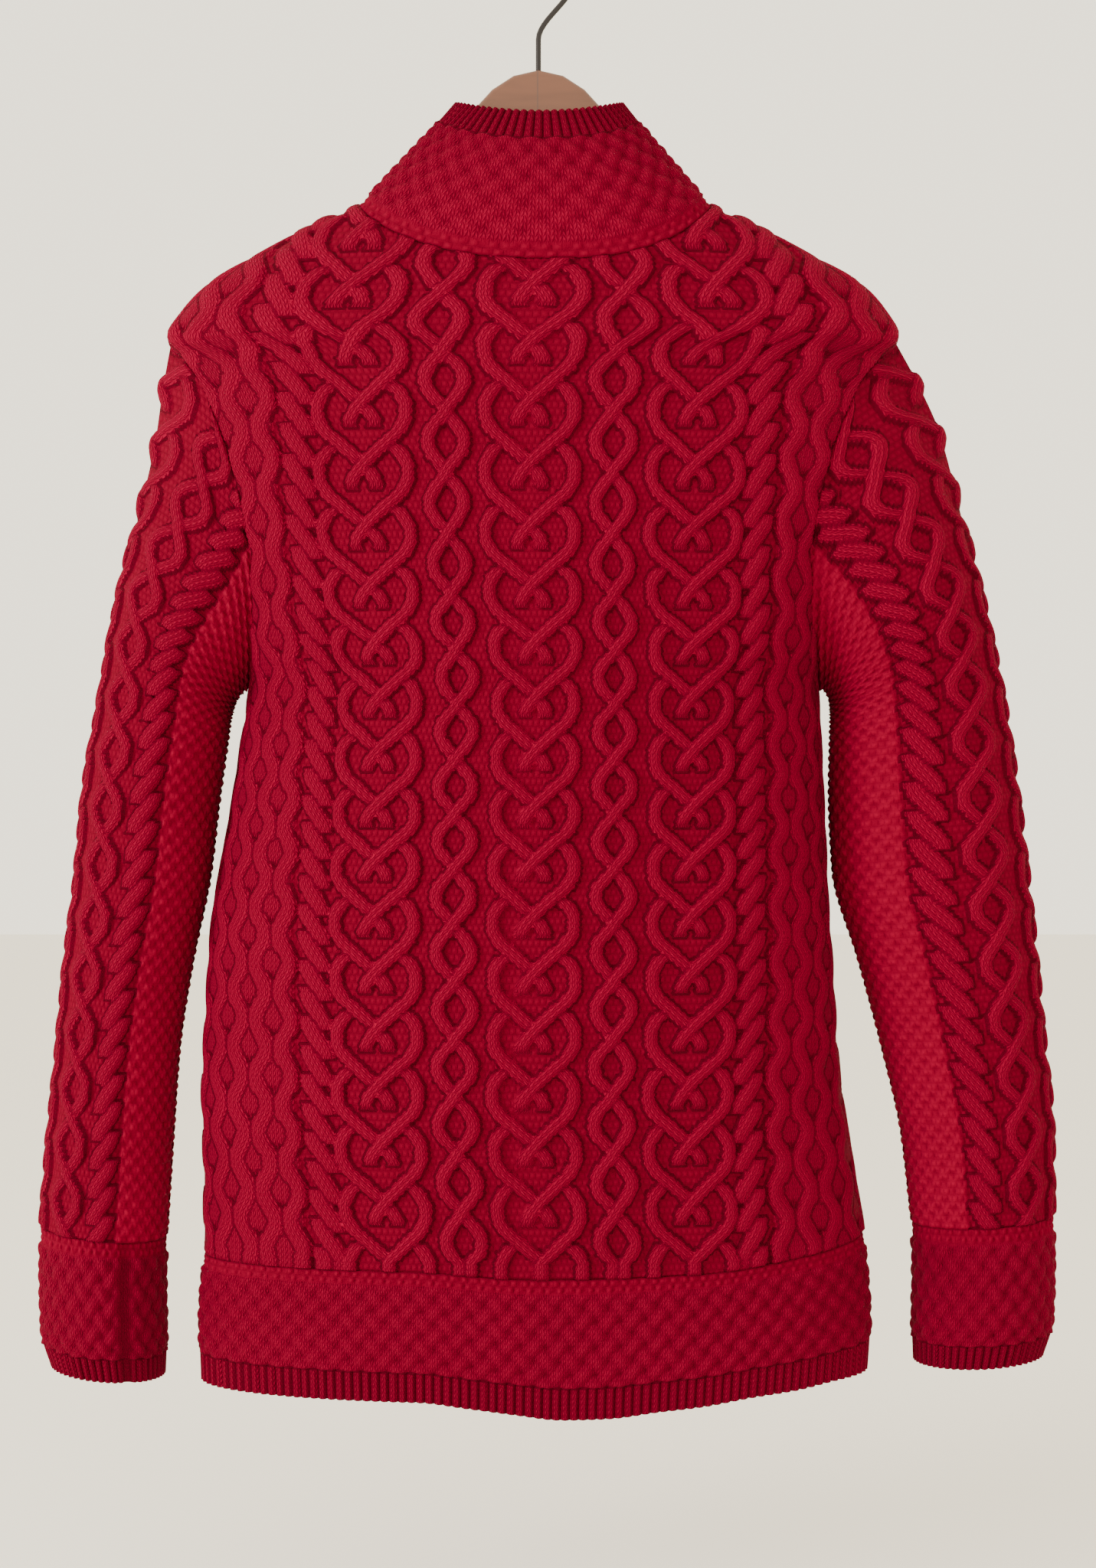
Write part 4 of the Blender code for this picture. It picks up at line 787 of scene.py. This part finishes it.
def inside(spots, outline, margin):
    """Which spots lie inside an outline and at least a margin away from it."""
    found = np.zeros(len(spots), bool)
    near = np.full(len(spots), 1e9)
    for a, b in zip(outline, np.roll(outline, -1, axis=0)):
        across = (a[1] > spots[:, 1]) != (b[1] > spots[:, 1])
        if a[1] != b[1]:
            cut = a[0] + (spots[:, 1] - a[1]) * (b[0] - a[0]) / (b[1] - a[1])
            found ^= across & (spots[:, 0] < cut)
        way = b - a
        share = np.clip((spots - a) @ way / (way @ way), 0.0, 1.0)
        np.minimum(near, np.hypot(*(spots - a - np.outer(share, way)).T), out=near)
    return found & (near > margin)


def lifted(face, flat, height):
    """Places of a panel's flat knitting in space, moved outwards by a height."""
    s, z = flat[:, 0], flat[:, 1] + HEM_Z
    return torso_at(face, s, z) + torso_at(face, s, z, "out") * height


def panel(face, step):
    outline = panel_outline(face, step)
    outline = outline[: len(outline) // INNER_EVERY * INNER_EVERY]
    flat, outer_faces = filled(outline, step)
    relief = body_relief(flat[:, 0], flat[:, 1])
    count, first = len(outline), len(flat)
    relief.height[:count] = np.minimum(relief.height[:count], SEAM_HEIGHT)
    plain, inner_faces = filled(outline[::INNER_EVERY], step * INNER_EVERY)
    rims = ring_join(range(count), range(first, first + count // INNER_EVERY))
    faces = np.vstack([outer_faces, inner_faces[:, ::-1] + first, np.array(rims)])
    if BODY[face].turned:
        faces = faces[:, ::-1]
    outer, inner = lifted(face, flat, relief.height[:, None]), lifted(face, plain, -WALL)
    return knitted(face + "_knit", face + "_panel", outer, inner, faces, relief, plain)


BACK_STEP, FRONT_STEP = 1.55, 2.3
back, front = panel("back", BACK_STEP), panel("front", FRONT_STEP)

# %% [markdown]
# ## The tubes
#
# Sleeves, cuffs, collar and welt close on themselves, so their nets are plain grids whose last
# column is the first one again. At a seam the pattern sinks to the ground and meets its neighbour;
# at a band's free edge it keeps its height.

# %% Tubes
def wrapped_grid(rows, columns, first, flip):
    """Quads of a grid that closes on itself across."""
    i, j = np.meshgrid(np.arange(rows - 1), np.arange(columns), indexing="ij")
    low, k = i * columns, (j + 1) % columns
    quads = np.stack([low + j, low + k, low + columns + k, low + columns + j], axis=-1)
    quads = quads.reshape(-1, 4) + first
    return (quads[:, ::-1] if flip else quads).tolist()


def tube(name, node_name, surface, half, relief_of, columns, rows, seams):
    """A closed wall; seams says of its low and high end whether it meets a neighbour there."""
    height = surface.high
    q, t = np.linspace(-1.0, 1.0, columns, endpoint=False), np.linspace(0.0, height, rows)
    qs, ts = (grid.ravel() for grid in np.meshgrid(q, t))
    relief = relief_of(qs * half, ts)
    ends = ((ts < 1e-6) & seams[0]) | ((ts > height - 1e-6) & seams[1])
    relief.height = np.where(ends, np.minimum(relief.height, SEAM_HEIGHT), relief.height)
    outer = surface.point(qs, ts) + surface.out(qs, ts) * relief.height[:, None]
    inner_q, inner_t = q[::INNER_EVERY], np.linspace(0.0, height, max(rows // INNER_EVERY, 3))
    qi, ti = (grid.ravel() for grid in np.meshgrid(inner_q, inner_t))
    inner = surface.point(qi, ti) - surface.out(qi, ti) * WALL
    first, total = len(outer), len(outer) + len(inner)
    faces = wrapped_grid(rows, columns, 0, False) + wrapped_grid(len(inner_t), len(inner_q), first, True)
    faces += ring_join(range(columns), range(first, first + len(inner_q)))
    top = ring_join(range(first - columns, first), range(total - len(inner_q), total))
    faces += [face[::-1] for face in top]
    if surface.turned:
        faces = [face[::-1] for face in faces]
    plain = np.column_stack([qi * half, ti])
    return knitted(name, node_name, outer, inner, faces, relief, plain)


sleeves, cuffs = {}, {}
for side, name in ((-1, "left"), (1, "right")):
    sleeves[side] = tube(
        f"sleeve_{name}_knit", f"sleeve_{name}", SLEEVES[side], SLEEVE_HALF,
        lambda s, t, cloth=SLEEVES[side]: sleeve_relief(s, sleeve_row(cloth, s, t)), 168, 330, (True, True),
    )
    cuffs[side] = tube(
        f"cuff_{name}_knit", f"cuff_{name}", CUFFS[side], SLEEVE_HALF,
        lambda s, t, side=side: cuff_relief(s, t, side), 312, 62, (False, True),
    )
welt = tube("welt_knit", "hem_band", WELT, 2 * KNIT_HALF, welt_relief, 840, 56, (False, True))
collar = tube("collar_knit", "collar", COLLAR, COLLAR_HALF, collar_relief, 420, 64, (False, True))

# %% [markdown]
# ## The hanger
#
# A board is cut to the hanger's outline and its edges are rounded with a router. The bevel does the
# router's work. Only the dome shows above the collar, with the joint where its halves are glued.

# %% Hanger
DOME = table("x z", [
    (0.0, -70.0), (14.0, -73.2), (26.0, -81.0), (36.0, -92.0), (45.0, -106.0), (57.0, -124.0), (76.0, -142.0),
])
ARM_DEPTH = table("x depth", [
    (0.0, 66.0), (40.0, 44.0), (80.0, 32.0), (130.0, 27.0), (175.0, 23.0), (190.0, 18.0),
])
HANGER_THICK, HANGER_CLEAR, HANGER_EDGE = 10.0, 1.6, 4.0
ARM_START, ARM_END, ARM_TAPER = 97.0, 188.0, 0.985


def meshed(name, curve, points, closed=False):
    """The mesh of a curve through points that are given in millimetres."""
    spline = curve.splines.new("POLY")
    spline.points.add(len(points) - 1)
    for point, place in zip(spline.points, points):
        point.co = (*(value * MM for value in place), 1.0)
    spline.use_cyclic_u = closed
    made = bpy.data.objects.new(name, curve)
    bpy.context.scene.collection.objects.link(made)
    bpy.ops.object.select_all(action="DESELECT")
    made.select_set(True)
    bpy.context.view_layer.objects.active = made
    bpy.ops.object.convert(target="MESH")
    return bpy.context.object


def arm_top(side):
    """The arm's top edge, just under the inner wall of its shoulder, from the neck outwards."""
    z = np.linspace(NECK_Z, SHOULDER_Z, 20)
    points = torso_at("back", side * torso["knit"](z), z)[:, [0, 2]]
    way = np.gradient(points, axis=0)
    up = np.column_stack([side * np.abs(way[:, 1]), np.abs(way[:, 0])])
    up /= np.linalg.norm(up, axis=1, keepdims=True)
    points = points - up * (WALL + HANGER_CLEAR)
    return [tuple(p) for p in points if ARM_START < abs(p[0]) < ARM_END]


def hanger():
    dome = [(-row["x"], row["z"]) for row in DOME[:0:-1]] + [(row["x"], row["z"]) for row in DOME]
    top = arm_top(-1)[::-1] + dome + arm_top(1)
    xs, depths = ([row[name] for row in ARM_DEPTH] for name in ("x", "depth"))
    bottom = [(x * ARM_TAPER, z - np.interp(abs(x), xs, depths)) for x, z in top]
    curve = bpy.data.curves.new("hanger board", "CURVE")
    curve.dimensions, curve.fill_mode, curve.extrude = "2D", "BOTH", HANGER_THICK / 2 * MM
    board = meshed("hanger_board", curve, [(x, z, 0.0) for x, z in top + bottom[::-1]], closed=True)
    board.rotation_euler = (math.pi / 2, 0.0, 0.0)
    bpy.ops.object.transform_apply(location=True, rotation=True, scale=True)
    bpy.ops.object.mode_set(mode="EDIT")
    bpy.ops.mesh.select_all(action="SELECT")
    bpy.ops.mesh.remove_doubles(threshold=0.00005)
    bpy.ops.mesh.dissolve_limited(angle_limit=math.radians(1))
    bpy.ops.mesh.normals_make_consistent(inside=False)
    bpy.ops.object.mode_set(mode="OBJECT")
    edge = board.modifiers.new("routed edge", "BEVEL")
    edge.width, edge.segments = HANGER_EDGE * MM, 5
    edge.limit_method, edge.angle_limit = "ANGLE", math.radians(60)
    bpy.ops.object.modifier_apply(modifier=edge.name)
    bpy.ops.object.shade_smooth_by_angle(angle=math.radians(40))
    stand_for(board, "hanger_body")
    return board


board = hanger()
print("hanger:", len(board.data.polygons), "faces,", [round(v * 1000) for v in board.dimensions], "mm")

# %% [markdown]
# ## The hook
#
# The hook is one bent wire. A curve carries its centre line, and a round section is swept along it.

# %% Hook
WIRE, HOOK_RADIUS, HOOK_MIDDLE = 3.0, 20.0, -18.4
STEM_LOW, STEM_MIDDLE, STEM_TOP, SWAN_STEPS = -72.0, -61.0, -52.0, 12
HOOK_START, HOOK_TURN, HOOK_STEPS = -4.0, 214.0, 40


def hook():
    path = [(0.0, 0.0, z) for z in (STEM_LOW, STEM_MIDDLE, STEM_TOP)]
    for share in np.arange(1, SWAN_STEPS) / SWAN_STEPS:
        path.append((HOOK_RADIUS * smooth(share), 0.0, STEM_TOP + (HOOK_MIDDLE - STEM_TOP) * share))
    for i in range(HOOK_STEPS + 1):
        turn = math.radians(HOOK_START + HOOK_TURN * i / HOOK_STEPS)
        path.append((HOOK_RADIUS * math.cos(turn), 0.0, HOOK_MIDDLE + HOOK_RADIUS * math.sin(turn)))
    curve = bpy.data.curves.new("bent wire", "CURVE")
    curve.dimensions, curve.bevel_depth, curve.bevel_resolution = "3D", WIRE / 2 * MM, 6
    curve.use_fill_caps = True
    wire = meshed("wire_hook", curve, path)
    bpy.ops.object.shade_smooth_by_angle(angle=math.radians(40))
    stand_for(wire, "hanger_hook")
    return wire


wire = hook()
print("hook:", [round(v * 1000, 1) for v in wire.dimensions], "mm")

# %% [markdown]
# ## The cut of each piece
#
# A sheet of knitting keeps its area when it is hung. These are the flat sizes that a knitter would
# block each piece to; a tube counts all the way round.

# %% Flat sizes
CUFF_ROUND, CUFF_HEIGHT, WELT_ROUND = 214.0, 76.0, 800.0
BACK_AREA, FRONT_AREA, COLLAR_AREA = 0.206, 0.203, 0.029


def cut(piece, width, length, area=None):
    """States a flat size in millimetres; area, in square metres, is not used."""
    print(piece.name, "cut", width, "x", length, "mm")


cut(back, 2 * KNIT_HALF, NECK_Z - HEM_Z, BACK_AREA)
cut(front, 2 * KNIT_HALF, NECK_Z - HEM_Z, FRONT_AREA)
for side in (-1, 1):
    cut(sleeves[side], 2 * SLEEVE_HALF, SLEEVE_LENGTH)
    cut(cuffs[side], CUFF_ROUND, CUFF_HEIGHT)
cut(welt, WELT_ROUND, HEM_HEIGHT)
cut(collar, 2 * COLLAR_HALF, COLLAR_HEIGHT, COLLAR_AREA)

# %% [markdown]
# ## Materials
#
# One small function adds a node with its settings and links, so each material below reads as a list
# of what it is made from. Colours are written as they look on a screen and turned into light.

# %% Material tools
def colour(text):
    parts = [int(text[i : i + 2], 16) / 255 for i in (1, 3, 5)]
    return tuple(p / 12.92 if p <= 0.04045 else ((p + 0.055) / 1.055) ** 2.4 for p in parts) + (1.0,)


def node(tree, kind, settings=None, **links):
    made = tree.nodes.new(kind)
    for name, value in (settings or {}).items():
        if name in made.inputs:
            made.inputs[name].default_value = value
        else:
            setattr(made, name, value)
    for name, source in links.items():
        tree.links.new(source, made.inputs[name])
    return made.outputs[0]


def mix(tree, factor, first, second):
    """A colour between two, each of which is a colour or the output of another node."""
    made = node(tree, "ShaderNodeMix", {"data_type": "RGBA"}, Factor=factor).node
    for name, value in (("A", first), ("B", second)):
        if isinstance(value, tuple):
            made.inputs[name].default_value = value
        else:
            tree.links.new(value, made.inputs[name])
    return made.outputs["Result"]


def new_material(name):
    made = bpy.data.materials.new(name)
    made.use_nodes = True
    return made, made.node_tree, made.node_tree.nodes["Principled BSDF"]


def set_values(shader, values):
    for name, value in values.items():
        shader.inputs[name].default_value = value


def maths(tree, kind, a, b=0.0, c=0.0):
    made = tree.nodes.new("ShaderNodeMath")
    made.operation = kind
    for i, value in enumerate((a, b, c)):
        if isinstance(value, (int, float)):
            made.inputs[i].default_value = value
        else:
            tree.links.new(value, made.inputs[i])
    return made.outputs[0]


print("cerise in light:", [round(v, 3) for v in colour("#860029")])

# %% [markdown]
# ### Cerise wool, knitted
#
# Plain knitting is columns of Vs, and purl is rows of small bumps. Both are drawn from the stitch
# numbers that came with the mesh: a V is a saw across the column whose height slides up on both
# sides. Fibres on top of that are noise. Sheen gives the pale bloom that wool has at its edges.
# The colour is darkened where the stitch is low and where the place lies deep between the ropes:
# painted shade in the grooves and hollows.

# %% Wool
STITCH_WIDE, STITCH_TALL = 2.5, 3.1
PURL_WIDE, PURL_TALL = 3.2, 3.9
FIBRE_SIZE, PATCH_SIZE = 1 / 900, 1 / 26  # metres: fibres, coarse enough to show, and uneven dyeing
# Two dye tones that vary at random, and a dark red painted as shade in stitch grooves and hollows
WOOL_LIGHT, WOOL_RED, WOOL_PAINTED_SHADE = "#860029", "#950030", "#4c0010"


def knit_height(calc, across, along):
    """Plain knitting: a V in each column, with a groove between the columns and one inside the V."""
    column = calc("PINGPONG", calc("DIVIDE", across, STITCH_WIDE), 0.5)
    slope = calc("MULTIPLY_ADD", column, 1.5, calc("DIVIDE", along, STITCH_TALL))
    stitch = calc("POWER", calc("PINGPONG", slope, 0.5), 0.6)
    groove = calc("SMOOTH_MIN", calc("MULTIPLY", column, 5.0), 1.0, 0.3)
    valley = calc("SMOOTH_MIN", calc("MULTIPLY", calc("SUBTRACT", 0.5, column), 9.0), 1.0, 0.2)
    return calc("MULTIPLY", calc("MULTIPLY", stitch, groove), valley)


def purl_height(calc, across, along):
    """Purl: rows of bumps, each row half a bump beside the last."""
    row = calc("DIVIDE", along, PURL_TALL)
    shift = calc("MULTIPLY", calc("FLOOR", row), 0.5)
    bump = calc("PINGPONG", calc("ADD", calc("DIVIDE", across, PURL_WIDE), shift), 0.5)
    return calc("MULTIPLY", calc("POWER", calc("PINGPONG", row, 0.5), 0.8), calc("POWER", bump, 0.5))


def wool_material():
    made, tree, shader = new_material("worsted wool, hand knitted")
    calc = partial(maths, tree)
    stitch = node(tree, "ShaderNodeAttribute", {"attribute_name": "stitch"}).node.outputs["Vector"]
    across, along, rope = node(tree, "ShaderNodeSeparateXYZ", Vector=stitch).node.outputs
    painted_hollow_shade = node(tree, "ShaderNodeAttribute", {"attribute_name": "painted_hollow_shade"}).node.outputs["Fac"]
    knit, purl = knit_height(calc, across, along), purl_height(calc, across, along)
    height = calc("MULTIPLY_ADD", calc("SUBTRACT", knit, purl), rope, purl)
    place = node(tree, "ShaderNodeTexCoord").node.outputs["Object"]
    fibres = {"Scale": 1 / FIBRE_SIZE, "Detail": 3.0, "Roughness": 0.7}
    fibre = node(tree, "ShaderNodeTexNoise", fibres, Vector=place)
    patch = node(tree, "ShaderNodeTexNoise", {"Scale": 1 / PATCH_SIZE, "Detail": 2.0}, Vector=place)
    relief = calc("MULTIPLY_ADD", fibre, 0.25, height)
    bump = node(tree, "ShaderNodeBump", {"Strength": 1.0, "Distance": 0.0022}, Height=relief)
    # Painted shade: darker where the stitch relief is low and where the place lies deep between ropes
    between = calc("MULTIPLY_ADD", height, -0.6, 0.46)
    depth = calc("MAXIMUM", calc("MULTIPLY_ADD", painted_hollow_shade, 0.38, between), 0.0)
    light = mix(tree, calc("MULTIPLY", patch, 0.8), colour(WOOL_LIGHT), colour(WOOL_RED))
    tree.links.new(mix(tree, depth, light, colour(WOOL_PAINTED_SHADE)), shader.inputs["Base Color"])
    tree.links.new(bump, shader.inputs["Normal"])
    set_values(shader, {"Roughness": 0.92, "Specular IOR Level": 0.05, "Sheen Weight": 0.06,
                        "Sheen Roughness": 0.5, "Sheen Tint": colour("#e00048")})
    return made


wool, wool_pieces = wool_material(), [back, front, welt, collar, *sleeves.values(), *cuffs.values()]
for piece in wool_pieces:
    piece.data.materials.append(wool)
print("wool on", len(wool_pieces), "pieces")

# %% [markdown]
# ### Varnished wood and black wire
#
# The grain is noise stretched along the board, faint under a satin varnish. The wire is enamelled
# steel, nearly black with a soft shine.

# %% Wood and wire
GRAIN, JOINT_X, JOINT_HALF = (14.0, 60.0, 110.0), -0.0004, 0.00045
WOOD_DARK, WOOD_LIGHT, WOOD_JOINT = "#4c2817", "#6c3e27", "#4a2f26"


def wood_material():
    made, tree, shader = new_material("stained hardwood, satin varnish")
    calc = partial(maths, tree)
    place = node(tree, "ShaderNodeTexCoord").node.outputs["Object"]
    turned = node(tree, "ShaderNodeMapping", {"Scale": GRAIN}, Vector=place)
    grain = node(tree, "ShaderNodeTexNoise", {"Scale": 1.6, "Detail": 5.0, "Distortion": 0.4}, Vector=turned)
    tone = mix(tree, grain, colour(WOOD_DARK), colour(WOOD_LIGHT))
    x = node(tree, "ShaderNodeSeparateXYZ", Vector=place)
    joint = calc("LESS_THAN", calc("ABSOLUTE", calc("SUBTRACT", x, JOINT_X)), JOINT_HALF)
    wood = mix(tree, calc("MULTIPLY", joint, 0.7), tone, colour(WOOD_JOINT))
    tree.links.new(wood, shader.inputs["Base Color"])
    set_values(shader, {"Roughness": 0.42, "Coat Weight": 0.3})
    return made


def wire_material():
    made, _, shader = new_material("steel wire, black enamel")
    set_values(shader, {"Base Color": colour("#1f1b1c"), "Metallic": 0.4, "Roughness": 0.38})
    return made


for piece, material in ((board, wood_material()), (wire, wire_material())):
    piece.data.materials.clear()
    piece.data.materials.append(material)
print("wood and wire done")

# %% [markdown]
# ## Stage, light and camera
#
# A pale floor lies far below, in a pale room. One soft light stands at mid height on the left, and
# shines along the knitting so that every rope throws a little shadow. A weak one fills the right.

# %% Stage
AIM = (0.0, 0.0, -0.45)
CAMERA_PLACE, CAMERA_SENSOR, CAMERA_LENS = (0.0054, -1.25, -0.470), 36.0, 51.1
FLOOR_SIZE, FLOOR_Z = 12.0, -0.96

bpy.ops.mesh.primitive_plane_add(size=FLOOR_SIZE, location=(0.0, 0.0, FLOOR_Z))
floor = bpy.context.object
floor.name = "floor"
floor_finish, _, floor_shader = new_material("pale matt floor")
set_values(floor_shader, {"Base Color": colour("#efebe2"), "Roughness": 0.9})
floor.data.materials.append(floor_finish)

world = bpy.data.worlds.new("pale room")
bpy.context.scene.world = world
world.use_nodes = True
set_values(world.node_tree.nodes["Background"], {"Color": colour("#e8dfca"), "Strength": 2.9})


def soft_light(name, place, size, power):
    light = bpy.data.lights.new(name, "AREA")
    light.shape, light.size, light.energy = "DISK", size, power
    lamp = bpy.data.objects.new(name, light)
    lamp.location = place
    lamp.rotation_euler = (Vector(AIM) - Vector(place)).to_track_quat("-Z", "Y").to_euler()
    bpy.context.scene.collection.objects.link(lamp)


soft_light("key from the left", (-1.85, -1.05, -0.1), 0.7, 58.0)
soft_light("fill from the right", (1.8, -1.6, -0.2), 1.4, 4.0)
lens = bpy.data.cameras.new("photo camera")
lens.sensor_width, lens.lens = CAMERA_SENSOR, CAMERA_LENS
camera = bpy.data.objects.new("photo camera", lens)
bpy.context.scene.collection.objects.link(camera)
camera.location, camera.rotation_euler = CAMERA_PLACE, (math.radians(90), 0.0, 0.0)
bpy.context.scene.camera = camera
print("stage set")
